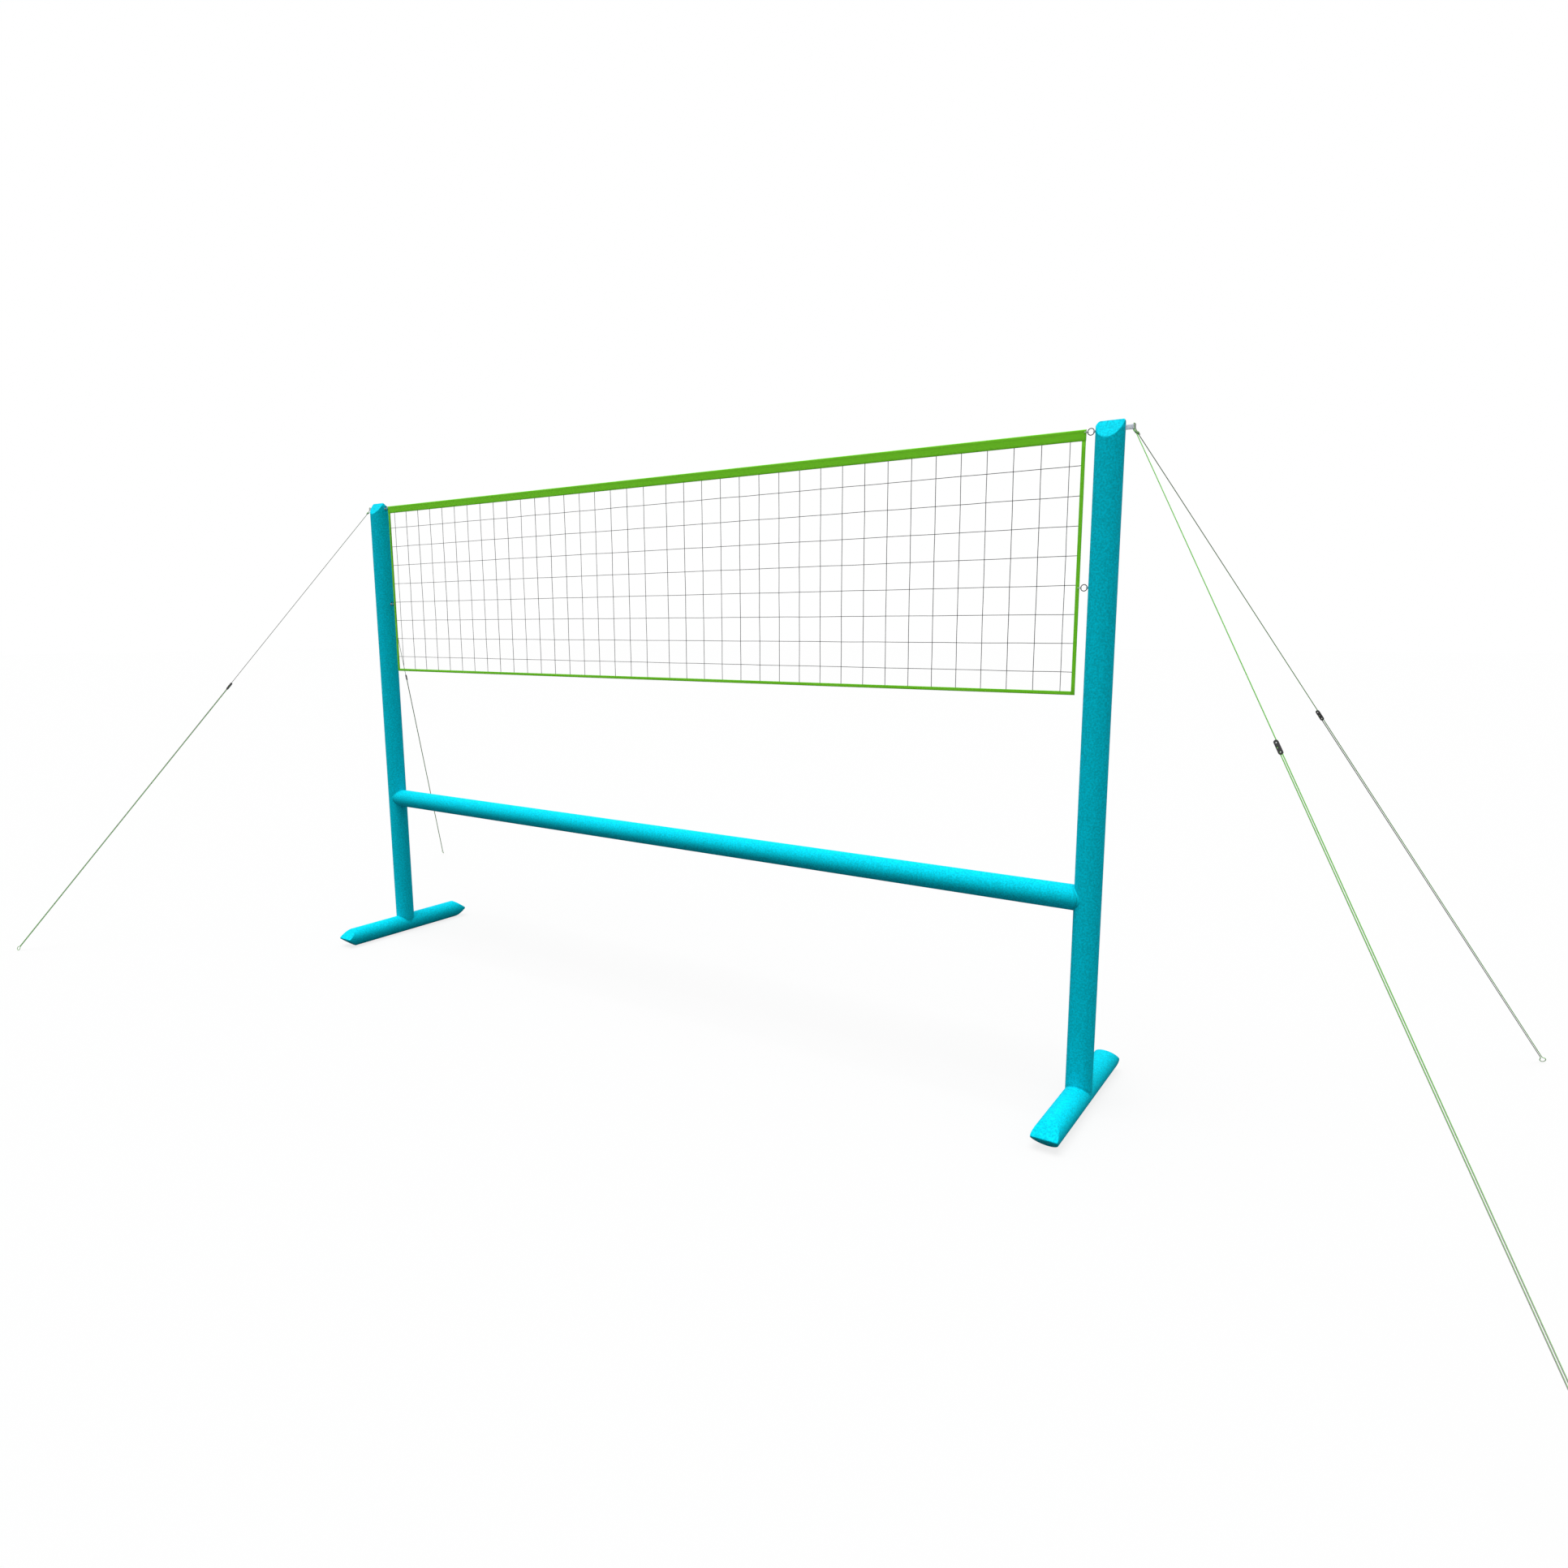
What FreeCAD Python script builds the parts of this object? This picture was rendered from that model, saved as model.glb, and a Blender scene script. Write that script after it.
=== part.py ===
import FreeCAD, Part
import math
import os

import Sketcher
from FreeCAD import Placement, Rotation, Vector

# Volleyball net on inflatable poles, in millimetres.
# X runs along the net, Y runs front to back and Z is up. The origin lies on the ground, midway
# between the two posts.

doc = FreeCAD.newDocument("volleyball_net")
sheet = doc.addObject("Spreadsheet::Sheet", "Sizes")

# Driving dimensions: alias, value, and what the value measures.
DRIVING = [
    ("post_spacing", 4000, "between the axes of the two posts"),
    ("post_height", 2456, "ground to the ridge of a post"),
    ("post_radius", 48.5, "outside of a post cover"),
    ("post_tip", 61, "height of the chisel end of a post"),
    ("crossbar_height", 800, "ground to the crossbar axis"),
    ("crossbar_radius", 47.3, "outside of the crossbar cover"),
    ("foot_length", 788, "length of a foot, front to back"),
    ("foot_radius", 49, "outside of a foot cover"),
    ("foot_tip", 56, "length of each chisel end of a foot"),
    ("foot_flat", 0.8, "how far the underside of a foot is pressed flat"),
    ("ridge_half", 2, "half the width of the sewn ridge at a chisel end"),
    ("cover_wall", 1.2, "thickness of the woven cover"),
    ("bladder_gap", 0.3, "between a cover and its air bladder"),
    ("bladder_wall", 0.6, "thickness of an air bladder"),
    ("joint_gap", 0.3, "running clearance between neighbouring pieces"),
    ("cut_over", 5, "how far a cut runs past what it cuts"),
    ("link_radius", 8, "outside of an air link hose"),
    ("link_bore", 6, "bore radius of an air link hose"),
    ("link_reach", 20, "how far an air link reaches into each tube"),
    ("valve_height", 320, "ground to the valve axis"),
    ("valve_flange", 18, "flange radius of the valve body"),
    ("valve_flange_wall", 1.5, "thickness of the valve flange"),
    ("valve_neck", 12, "outer radius of the valve neck"),
    ("valve_bore", 9, "bore radius of the valve neck"),
    ("valve_stand", 4.5, "how far the valve neck stands out of the cover"),
    ("insert_length", 8.5, "length of the screw-in valve insert"),
    ("insert_bore", 6, "bore radius of the valve insert"),
    ("insert_web", 1.5, "thickness of the web that carries the membrane"),
    ("vent_radius", 1.5, "radius of each air hole in the web"),
    ("membrane_radius", 7.5, "radius of the non-return membrane"),
    ("membrane_wall", 1, "thickness of the membrane and of its head"),
    ("stem_radius", 1.3, "radius of the membrane stem"),
    ("stem_head", 2.2, "radius of the membrane stem's head"),
    ("cap_wall", 1.7, "thickness of the valve cap's skirt"),
    ("cap_top", 2.5, "thickness of the valve cap's top"),
    ("cap_edge", 0.8, "bevel round the valve cap's top"),
    ("grip_radius", 1.2, "radius of each finger groove round the cap"),
    ("grip_count", 12, "number of finger grooves round the cap"),
    ("webbing", 1.6, "thickness of the webbing in the post tabs"),
    ("tab_length", 5.5, "post surface to the wire held in a ring tab"),
    ("tab_height", 8, "height of a ring tab"),
    ("ring_radius", 11, "centre radius of a net ring"),
    ("ring_wire", 1.5, "wire radius of a net ring"),
    ("ring_drop", 10, "top edge of the net to the upper rings"),
    ("mid_ring_drop", 529, "top edge of the net to the lower rings"),
    ("ring_net_gap", 5, "ring wire to the side edge of the net"),
    ("tie_cord", 0.9, "cord radius of a net tie"),
    ("tie_half", 7, "half the width of a net tie, front to back"),
    ("tie_bend", 3, "corner radius of a net tie"),
    ("net_drop", 21, "ridge of a post to the top edge of the net"),
    ("net_height", 901.5, "top edge to lower edge of the net"),
    ("band_height", 37.5, "height of the band along the top"),
    ("band_wall", 1.9, "thickness of each side of the band"),
    ("tape_width", 13, "width of the side and bottom tapes"),
    ("tape_wall", 1.3, "thickness of each side of a tape"),
    ("headline_radius", 2, "radius of the headline cord"),
    ("headline_drop", 4.7, "top edge of the net to the headline cord"),
    ("seam_gap", 0.3, "between the mesh and the webbing round it"),
    ("mesh_thickness", 2, "thickness of the mesh"),
    ("mesh_string", 2.5, "width of a mesh string"),
    ("mesh_pitch", 100.4, "pitch of the level strings"),
    ("mesh_first", 118, "top edge of the net to the first level string"),
    ("mesh_columns", 33, "number of gaps along the net"),
    ("mesh_rows", 9, "number of gaps from top to bottom"),
    ("mesh_hem", 12.5, "how far the mesh reaches into the band"),
    ("mesh_tuck", 4.5, "how far the mesh reaches into a tape"),
    ("selvedge", 2, "edge of a tape to the first gap of the mesh"),
    ("guy_tab_height", 16, "height of a guy tab"),
    ("guy_tab_reach", 27, "post surface to the hole of a guy tab"),
    ("hole_slack", 0.8, "play of the two ropes in a guy tab's hole"),
    ("rope_radius", 1.5, "radius of a guy rope"),
    ("rope_gap", 0.2, "half the gap between two ropes in one hole"),
    ("guy_angle", 45, "turn of a rope from the line of the net, in plan"),
    ("anchor_reach", 2000, "guy tab to the ground loop, in plan"),
    ("loop_radius", 10, "centre radius of a ground loop"),
    ("loop_flare", 15, "radius where the strands open into the loop"),
    ("loop_height", 14, "ground to the long strand beside the middle of a ground loop"),
    ("eye_length", 25, "guy tab to the knot under the eye"),
    ("eye_bend", 3, "bend radius of the eye beside the tab"),
    ("eye_drop", 3, "how far the eye comes out below the tab"),
    ("knot_radius", 4.5, "radius of the knot under the eye"),
    ("strand_spacing", 5, "between the two strands of a rope"),
    ("runner_length", 46, "length of a runner"),
    ("runner_width", 13, "width of a runner"),
    ("runner_thickness", 5, "thickness of a runner"),
    ("runner_edge", 0.9, "rounding of a runner's edges"),
    ("runner_place", 1263, "guy tab to the middle of a runner"),
    ("runner_hole", 2.5, "radius of the end holes of a runner"),
    ("runner_hole_place", 15, "middle of a runner to its end holes"),
    ("tunnel_gap", 0.3, "between a strand and its tunnel"),
    ("stopper_radius", 2.4, "radius of the knot at a rope's end"),
]
for row, (alias, value, meaning) in enumerate(DRIVING, start=1):
    sheet.set(f"A{row}", alias)
    sheet.set(f"B{row}", str(value))
    sheet.set(f"C{row}", meaning)
    sheet.setAlias(f"B{row}", alias)
doc.recompute()

# Places that several pieces share, worked out from the driving dimensions.
POST_X = "(Sizes.post_spacing / 2)"
FOOT_AXIS = "(Sizes.foot_radius - Sizes.foot_flat)"
FOOT_TOP = f"({FOOT_AXIS} + Sizes.foot_radius)"
BLADDER_INSET = "(Sizes.cover_wall + Sizes.bladder_gap)"
AIR_INSET = f"({BLADDER_INSET} + Sizes.bladder_wall)"
LINK_HOLE = "(Sizes.link_radius + Sizes.joint_gap)"
VALVE_TOP = "(Sizes.post_radius + Sizes.valve_stand)"
FLANGE_TOP = (f"(sqrt((Sizes.post_radius - {AIR_INSET}) ^ 2 - Sizes.valve_flange ^ 2)"
              " - Sizes.joint_gap)")
FLANGE_BASE = f"({FLANGE_TOP} - Sizes.valve_flange_wall)"
WEB_BASE = f"({VALVE_TOP} - Sizes.insert_length)"
WIRE_X = f"({POST_X} - Sizes.post_radius - Sizes.tab_length)"
RING_X = f"({WIRE_X} - Sizes.ring_radius)"
RING_INNER_X = f"({RING_X} - Sizes.ring_radius)"
NET_TOP = "(Sizes.post_height - Sizes.net_drop)"
NET_BASE = f"({NET_TOP} - Sizes.net_height)"
TOP_RING_Z = f"({NET_TOP} - Sizes.ring_drop)"
MID_RING_Z = f"({NET_TOP} - Sizes.mid_ring_drop)"
NET_HALF = f"({RING_INNER_X} - Sizes.ring_net_gap)"
TIE_HOLE_X = f"({NET_HALF} - Sizes.tape_width / 2)"
TIE_HOLE = "(Sizes.tie_cord + Sizes.seam_gap)"
TIE_FAR_X = f"({RING_INNER_X} + Sizes.ring_wire + Sizes.joint_gap + Sizes.tie_cord)"
BAND_BASE = f"({NET_TOP} - Sizes.band_height)"
SLOT_HALF = "(Sizes.mesh_thickness / 2 + Sizes.seam_gap)"
BAND_HALF = f"({SLOT_HALF} + Sizes.band_wall)"
TAPE_HALF = f"({SLOT_HALF} + Sizes.tape_wall)"
TAPE_EDGE_X = f"({NET_HALF} - Sizes.tape_width)"
GUY_HOLE = "(2 * Sizes.rope_radius + Sizes.hole_slack)"
GUY_HOLE_X = "(Sizes.post_radius + Sizes.guy_tab_reach)"
GUY_TAB_Z = f"({NET_TOP} - Sizes.guy_tab_height / 2)"

SIDES = (("left", -1), ("right", 1))
ENDS = (("front", -1), ("back", 1))
nodes = []


def number(expression):
    """The value of an expression over the sheet, in millimetres."""
    return float(sheet.evalExpression(expression.replace("Sizes.", "")))


def keep(piece, name):
    """Takes a finished piece as a node of that name."""
    piece.Label = name
    nodes.append(piece)
    return piece


def bind(thing, **expressions):
    """Binds properties of an object to expressions; x, y and z stand for its position."""
    for key, expression in expressions.items():
        path = f"Placement.Base.{key}" if key in ("x", "y", "z") else key
        thing.setExpression(path, expression)
    return thing


def new_body(name):
    return doc.addObject("PartDesign::Body", name)


def sketch_on(body, role, offset=None):
    """An empty sketch on one of the body's own origin planes, or at a distance from it."""
    sketch = body.newObject("Sketcher::SketchObject", "outline")
    plane = [item for item in body.Origin.OriginFeatures if item.Role == role][0]
    sketch.AttachmentSupport = [(plane, "")]
    sketch.MapMode = "FlatFace"
    if offset:
        sketch.setExpression("AttachmentOffset.Base.z", offset)
    return sketch


def pin(sketch, curve, spot, across, up):
    """Holds one point of a sketch at two distances from the sketch's origin."""
    for kind, distance in (("DistanceX", across), ("DistanceY", up)):
        rule = sketch.addConstraint(Sketcher.Constraint(kind, -1, 1, curve, spot, number(distance)))
        sketch.setExpression(f"Constraints[{rule}]", distance)


def draw_polygon(sketch, corners):
    """A closed polygon whose corners are pairs of expressions."""
    points = [Vector(number(across), number(up), 0) for across, up in corners]
    first = sketch.GeometryCount
    for start, end in zip(points, points[1:] + points[:1]):
        sketch.addGeometry(Part.LineSegment(start, end))
    for turn in range(len(points)):
        after = (turn + 1) % len(points)
        sketch.addConstraint(Sketcher.Constraint("Coincident", first + turn, 2, first + after, 1))
    for turn, (across, up) in enumerate(corners):
        pin(sketch, first + turn, 1, across, up)


def draw_rectangle(sketch, left, right, base, top):
    draw_polygon(sketch, [(left, base), (right, base), (right, top), (left, top)])


def draw_circle(sketch, across, up, radius):
    centre = Vector(number(across), number(up), 0)
    curve = sketch.addGeometry(Part.Circle(centre, Vector(0, 0, 1), number(radius)))
    pin(sketch, curve, 3, across, up)
    rule = sketch.addConstraint(Sketcher.Constraint("Radius", curve, number(radius)))
    sketch.setExpression(f"Constraints[{rule}]", radius)


def pad(body, sketch, length, both_ways=False):
    feature = body.newObject("PartDesign::Pad", "pad")
    feature.Profile = sketch
    feature.SideType = "Symmetric" if both_ways else "One side"
    feature.setExpression("Length", length)
    return feature


def pocket_through(body, sketch):
    """Cuts a sketch right through the body, both ways from the sketch's plane."""
    feature = body.newObject("PartDesign::Pocket", "pocket")
    feature.Profile = sketch
    feature.Type = "ThroughAll"
    feature.SideType = "Symmetric"
    return feature


def revolve(body, sketch):
    """Turns a sketch once round its own upright axis."""
    feature = body.newObject("PartDesign::Revolution", "turned")
    feature.Profile = sketch
    feature.ReferenceAxis = (sketch, ["V_Axis"])
    feature.Angle = 360
    return feature


def cylinder(radius, length, axis=Vector(0, 0, 1), **place):
    rod = doc.addObject("Part::Cylinder", "rod")
    rod.Placement = Placement(Vector(0, 0, 0), Rotation(Vector(0, 0, 1), axis))
    return bind(rod, Radius=radius, Height=length, **place)


def torus(radius, cord, axis=Vector(0, 0, 1), **place):
    hoop = doc.addObject("Part::Torus", "hoop")
    hoop.Placement = Placement(Vector(0, 0, 0), Rotation(Vector(0, 0, 1), axis))
    return bind(hoop, Radius1=radius, Radius2=cord, **place)


def cut(base, tools):
    """One shape with several others taken away."""
    tool = tools[0]
    if len(tools) > 1:
        tool = doc.addObject("Part::MultiFuse", "tools")
        tool.Shapes = tools
    result = doc.addObject("Part::Cut", "cut")
    result.Base = base
    result.Tool = tool
    return result


def rounded_path(points, radii):
    """Straight runs joined by arcs; one radius for each inner point."""
    edges = []
    start = points[0]
    for before, corner, after, radius in zip(points, points[1:], points[2:], radii):
        coming = (corner - before).normalize()
        leaving = (after - corner).normalize()
        turn = coming.getAngle(leaving)
        reach = radius * math.tan(turn / 2)
        arc_start = corner - coming * reach
        arc_end = corner + leaving * reach
        inward = (leaving - coming).normalize()
        middle = corner + inward * (radius / math.cos(turn / 2) - radius)
        if (arc_start - start).Length > 1e-6:
            edges.append(Part.LineSegment(start, arc_start).toShape())
        edges.append(Part.Arc(arc_start, middle, arc_end).toShape())
        start = arc_end
    edges.append(Part.LineSegment(start, points[-1]).toShape())
    return Part.Wire(edges)


def tube(path, radius, label):
    """A round tube along a path, with its volume held against its length."""
    start = path.Edges[0]
    direction = start.tangentAt(start.FirstParameter)
    ring = Part.Wire(Part.makeCircle(radius, start.valueAt(start.FirstParameter), direction))
    solid = path.makePipeShell([ring], True, False)
    expected = math.pi * radius ** 2 * path.Length
    print(f"{label}: length {path.Length:.1f}, volume {solid.Volume:.1f} of {expected:.1f}")
    return solid


# Inflatable tubes. A chisel end has two flat facets that meet in a narrow sewn ridge. An inset
# version of a tube is the same shape moved inwards by a wall, facets included.


def chisel(radius, tip, inset):
    """Radius, facet slope and half ridge width of a chisel end at an inset."""
    slope = f"({tip} / ({radius} - Sizes.ridge_half))"
    lean = f"((sqrt(1 + {slope} ^ 2) - 1) / {slope})"
    return f"({radius} - {inset})", slope, f"(Sizes.ridge_half - {inset} * {lean})"


def draw_facet(sketch, end, radius, slope, flat, place):
    """The wedge that one facet takes off the end of a round tube."""
    outside = f"({radius} + Sizes.cut_over)"
    beyond = f"({end} + Sizes.cut_over)"
    foot = f"({end} - {slope} * ({outside} - {flat}))"
    corners = [(flat, end), (outside, foot), (outside, beyond), (flat, beyond)]
    draw_polygon(sketch, [place(across, along) for across, along in corners])


def post_tube(side, inset, base):
    """A post's round tube from a base height up to its chisel end."""
    radius, slope, flat = chisel("Sizes.post_radius", "Sizes.post_tip", inset)
    ridge = f"(Sizes.post_height - {inset})"
    body = bind(new_body("post_tube"), x=f"{side} * {POST_X}")
    section = sketch_on(body, "XY_Plane", base)
    draw_circle(section, "0", "0", radius)
    pad(body, section, f"{ridge} - {base}")
    facets = sketch_on(body, "YZ_Plane")
    for face in (-1, 1):
        draw_facet(facets, ridge, radius, slope, flat,
                   lambda across, along: (f"{face} * {across}", along))
    pocket_through(body, facets)
    return body


def foot_tube(side, inset):
    """A foot's round tube with a chisel end front and back and a flat underside."""
    radius, slope, flat = chisel("Sizes.foot_radius", "Sizes.foot_tip", inset)
    ridge = f"(Sizes.foot_length / 2 - {inset})"
    body = bind(new_body("foot_tube"), x=f"{side} * {POST_X}")
    section = sketch_on(body, "XZ_Plane")
    draw_circle(section, "0", FOOT_AXIS, radius)
    pad(body, section, f"2 * {ridge}", both_ways=True)
    facets = sketch_on(body, "YZ_Plane")
    for end in (-1, 1):
        for face in (-1, 1):
            draw_facet(facets, ridge, radius, slope, flat,
                       lambda across, along: (f"{end} * {along}", f"{FOOT_AXIS} + {face} * {across}"))
    pocket_through(body, facets)
    underside = sketch_on(body, "XZ_Plane")
    draw_rectangle(underside, f"-{radius}", radius, "-Sizes.cut_over", inset)
    pocket_through(body, underside)
    return body


def crossbar_tube(inset, half_length):
    return cylinder(f"Sizes.crossbar_radius - {inset}", f"2 * {half_length}", Vector(1, 0, 0),
                    x=f"-{half_length}", z="Sizes.crossbar_height")


def foot_link_hole(side):
    """The hole on top of a foot that the air link passes through."""
    return cylinder(LINK_HOLE, "Sizes.foot_radius + Sizes.link_reach", x=f"{side} * {POST_X}",
                    z=FOOT_AXIS)


def bar_link_hole(side):
    """The hole between a post and the crossbar that the air link passes through."""
    return cylinder(LINK_HOLE, "Sizes.post_radius + Sizes.link_reach", Vector(-side, 0, 0),
                    x=f"{side} * {POST_X}", z="Sizes.crossbar_height")


def valve_hole():
    """The hole at the back of the right post that the valve neck passes through."""
    return cylinder("Sizes.valve_neck + Sizes.joint_gap", VALVE_TOP, Vector(0, 1, 0), x=POST_X,
                    z="Sizes.valve_height")


def post_cover(name, side):
    """Woven sleeve: open where it sits on the foot, closed at the chisel top."""
    saddle = cylinder("Sizes.foot_radius + Sizes.joint_gap", "2 * Sizes.foot_radius",
                      Vector(0, 1, 0), x=f"{side} * {POST_X}", y="-Sizes.foot_radius", z=FOOT_AXIS)
    tools = [post_tube(side, "Sizes.cover_wall", f"({FOOT_AXIS} - Sizes.cut_over)"), saddle,
             bar_link_hole(side)]
    if side > 0:
        tools.append(valve_hole())
    keep(cut(post_tube(side, "0", FOOT_AXIS), tools), f"{name}_post_cover")


def post_bladder(name, side):
    """Air bladder inside a post cover, closed just above the foot."""
    base = f"({FOOT_TOP} + Sizes.joint_gap)"
    tools = [post_tube(side, AIR_INSET, f"({base} + Sizes.bladder_wall)"), bar_link_hole(side),
             cylinder(LINK_HOLE, "2 * Sizes.link_reach", x=f"{side} * {POST_X}",
                      z=f"{FOOT_TOP} - Sizes.link_reach")]
    if side > 0:
        tools.append(valve_hole())
    keep(cut(post_tube(side, BLADDER_INSET, base), tools), f"{name}_post_bladder")


def foot_cover(name, side):
    tools = [foot_tube(side, "Sizes.cover_wall"), foot_link_hole(side)]
    keep(cut(foot_tube(side, "0"), tools), f"{name}_foot_cover")


def foot_bladder(name, side):
    tools = [foot_tube(side, AIR_INSET), foot_link_hole(side)]
    keep(cut(foot_tube(side, BLADDER_INSET), tools), f"{name}_foot_bladder")


def crossbar():
    """Cover and bladder of the crossbar; the cover's ends fit round the posts."""
    saddles = [cylinder("Sizes.post_radius + Sizes.joint_gap", "4 * Sizes.crossbar_radius",
                        x=f"{side} * {POST_X}", z="Sizes.crossbar_height - 2 * Sizes.crossbar_radius")
               for name, side in SIDES]
    hollow = crossbar_tube("Sizes.cover_wall", f"({POST_X} + Sizes.cut_over)")
    keep(cut(crossbar_tube("0", POST_X), [hollow] + saddles), "crossbar_cover")
    half = f"({POST_X} - Sizes.post_radius - Sizes.joint_gap)"
    air = crossbar_tube(AIR_INSET, f"({half} - Sizes.bladder_wall)")
    tools = [air] + [bar_link_hole(side) for name, side in SIDES]
    keep(cut(crossbar_tube(BLADDER_INSET, half), tools), "crossbar_bladder")


def air_link(name, turn, **place):
    """Short hose welded into two bladders."""
    body = new_body(name)
    section = sketch_on(body, "XY_Plane")
    draw_circle(section, "0", "0", "Sizes.link_radius")
    draw_circle(section, "0", "0", "Sizes.link_bore")
    pad(body, section, "2 * Sizes.link_reach", both_ways=True)
    body.Placement = Placement(Vector(0, 0, 0), turn)
    keep(bind(body, **place), name)


for side_name, side in SIDES:
    post_cover(side_name, side)
    post_bladder(side_name, side)
    foot_cover(side_name, side)
    foot_bladder(side_name, side)
    air_link(f"{side_name}_foot_air_link", Rotation(), x=f"{side} * {POST_X}", z=FOOT_TOP)
    air_link(f"{side_name}_bar_air_link", Rotation(Vector(0, 1, 0), 90),
             x=f"{side} * ({POST_X} - Sizes.post_radius)", z="Sizes.crossbar_height")
crossbar()


# Inflation valve at the back of the right post. Every piece is turned about the valve axis,
# which runs along Y; the flange is welded to the inside of the bladder.


def turned_valve_piece(name, profile):
    body = new_body(name)
    sketch = sketch_on(body, "XY_Plane")
    draw_polygon(sketch, profile)
    revolve(body, sketch)
    keep(bind(body, x=POST_X, z="Sizes.valve_height"), name)
    return body


def valve_body():
    turned_valve_piece("valve_body", [
        ("Sizes.valve_bore", FLANGE_BASE),
        ("Sizes.valve_flange", FLANGE_BASE),
        ("Sizes.valve_flange", FLANGE_TOP),
        ("Sizes.valve_neck", FLANGE_TOP),
        ("Sizes.valve_neck", VALVE_TOP),
        ("Sizes.valve_bore", VALVE_TOP),
    ])


def valve_insert():
    """Sleeve with a web at its inner end: one hole for the stem and four for the air."""
    outside = "(Sizes.valve_bore - Sizes.joint_gap)"
    web_top = f"({WEB_BASE} + Sizes.insert_web)"
    stem_hole = "(Sizes.stem_radius + Sizes.joint_gap)"
    body = turned_valve_piece("valve_insert", [
        (stem_hole, WEB_BASE),
        (outside, WEB_BASE),
        (outside, VALVE_TOP),
        ("Sizes.insert_bore", VALVE_TOP),
        ("Sizes.insert_bore", web_top),
        (stem_hole, web_top),
    ])
    vents = sketch_on(body, "XZ_Plane")
    middle = f"(({stem_hole} + Sizes.insert_bore) / 2)"
    for across, up in ((middle, "0"), (f"-{middle}", "0"), ("0", middle), ("0", f"-{middle}")):
        draw_circle(vents, across, up, "Sizes.vent_radius")
    pocket_through(body, vents)


def valve_membrane():
    """Flap under the web, with a stem through it and a head that holds it."""
    flap_top = f"({WEB_BASE} - Sizes.joint_gap)"
    flap_base = f"({flap_top} - Sizes.membrane_wall)"
    head_base = f"({WEB_BASE} + Sizes.insert_web + Sizes.joint_gap)"
    head_top = f"({head_base} + Sizes.membrane_wall)"
    turned_valve_piece("valve_membrane", [
        ("0", flap_base),
        ("Sizes.membrane_radius", flap_base),
        ("Sizes.membrane_radius", flap_top),
        ("Sizes.stem_radius", flap_top),
        ("Sizes.stem_radius", head_base),
        ("Sizes.stem_head", head_base),
        ("Sizes.stem_head", head_top),
        ("0", head_top),
    ])


def valve_cap():
    """Screw cap over the neck, with finger grooves round its skirt."""
    bore = "(Sizes.valve_neck + Sizes.joint_gap)"
    outside = f"({bore} + Sizes.cap_wall)"
    skirt_base = "(Sizes.post_radius + Sizes.joint_gap)"
    ceiling = f"({VALVE_TOP} + Sizes.joint_gap)"
    top = f"({ceiling} + Sizes.cap_top)"
    body = turned_valve_piece("valve_cap", [
        ("0", ceiling),
        (bore, ceiling),
        (bore, skirt_base),
        (outside, skirt_base),
        (outside, f"{top} - Sizes.cap_edge"),
        (f"{outside} - Sizes.cap_edge", top),
        ("0", top),
    ])
    groove = sketch_on(body, "XZ_Plane")
    draw_circle(groove, f"({outside} + Sizes.grip_radius / 3)", "0", "Sizes.grip_radius")
    first = pocket_through(body, groove)
    doc.recompute()
    ring = body.newObject("PartDesign::PolarPattern", "grooves")
    ring.Originals = [first]
    ring.Axis = (groove, ["N_Axis"])
    ring.Angle = 360
    ring.setExpression("Occurrences", "Sizes.grip_count")
    body.Tip = ring


valve_body()
valve_insert()
valve_membrane()
valve_cap()


# Net rings, the fabric tabs that hold them on the posts, and the ties that hold the net.


def ring_level(name, side_name, side, height):
    """One steel ring standing in the plane of the net, and the tab folded round its wire."""
    keep(torus("Sizes.ring_radius", "Sizes.ring_wire", Vector(0, 1, 0), x=f"{side} * {RING_X}",
               z=height), f"{side_name}_{name}_ring")
    fold = "(Sizes.ring_wire + Sizes.joint_gap + Sizes.webbing)"
    wire = f"{side} * {WIRE_X}"
    post_face = f"{side} * ({POST_X} - Sizes.post_radius - Sizes.joint_gap)"
    body = bind(new_body("folded_tab"), z=f"{height} - Sizes.tab_height / 2")
    loop = sketch_on(body, "XY_Plane")
    draw_circle(loop, wire, "0", fold)
    pad(body, loop, "Sizes.tab_height")
    tail = sketch_on(body, "XY_Plane")
    draw_rectangle(tail, wire, post_face, "-Sizes.webbing", "Sizes.webbing")
    pad(body, tail, "Sizes.tab_height")
    channel = torus("Sizes.ring_radius", "Sizes.ring_wire + Sizes.joint_gap", Vector(0, 1, 0),
                    x=f"{side} * {RING_X}", z=height)
    keep(cut(body, [channel]), f"{side_name}_{name}_ring_tab")


def net_tie(name, side, height):
    """A cord loop through the hole in the net's edge and round the wire of its ring."""
    far = side * number(TIE_FAR_X)
    near = side * number(TIE_HOLE_X)
    half = number("Sizes.tie_half")
    up = number(height)
    corners = [(far, 0), (far, half), (near, half), (near, -half), (far, -half), (far, 0)]
    path = rounded_path([Vector(x, y, up) for x, y in corners], [number("Sizes.tie_bend")] * 4)
    return tube(path, number("Sizes.tie_cord"), f"{name} tie")


ties = []
for side_name, side in SIDES:
    for level, height in (("top", TOP_RING_Z), ("mid", MID_RING_Z)):
        ring_level(level, side_name, side, height)
        ties.append(net_tie(f"{side_name} {level}", side, height))
net_ties = doc.addObject("Part::Feature", "net_ties")
net_ties.Shape = Part.makeCompound(ties)
keep(net_ties, "net_ties")


# Net: a band over the top, tapes down the sides and along the bottom, and the mesh in them.


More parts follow.
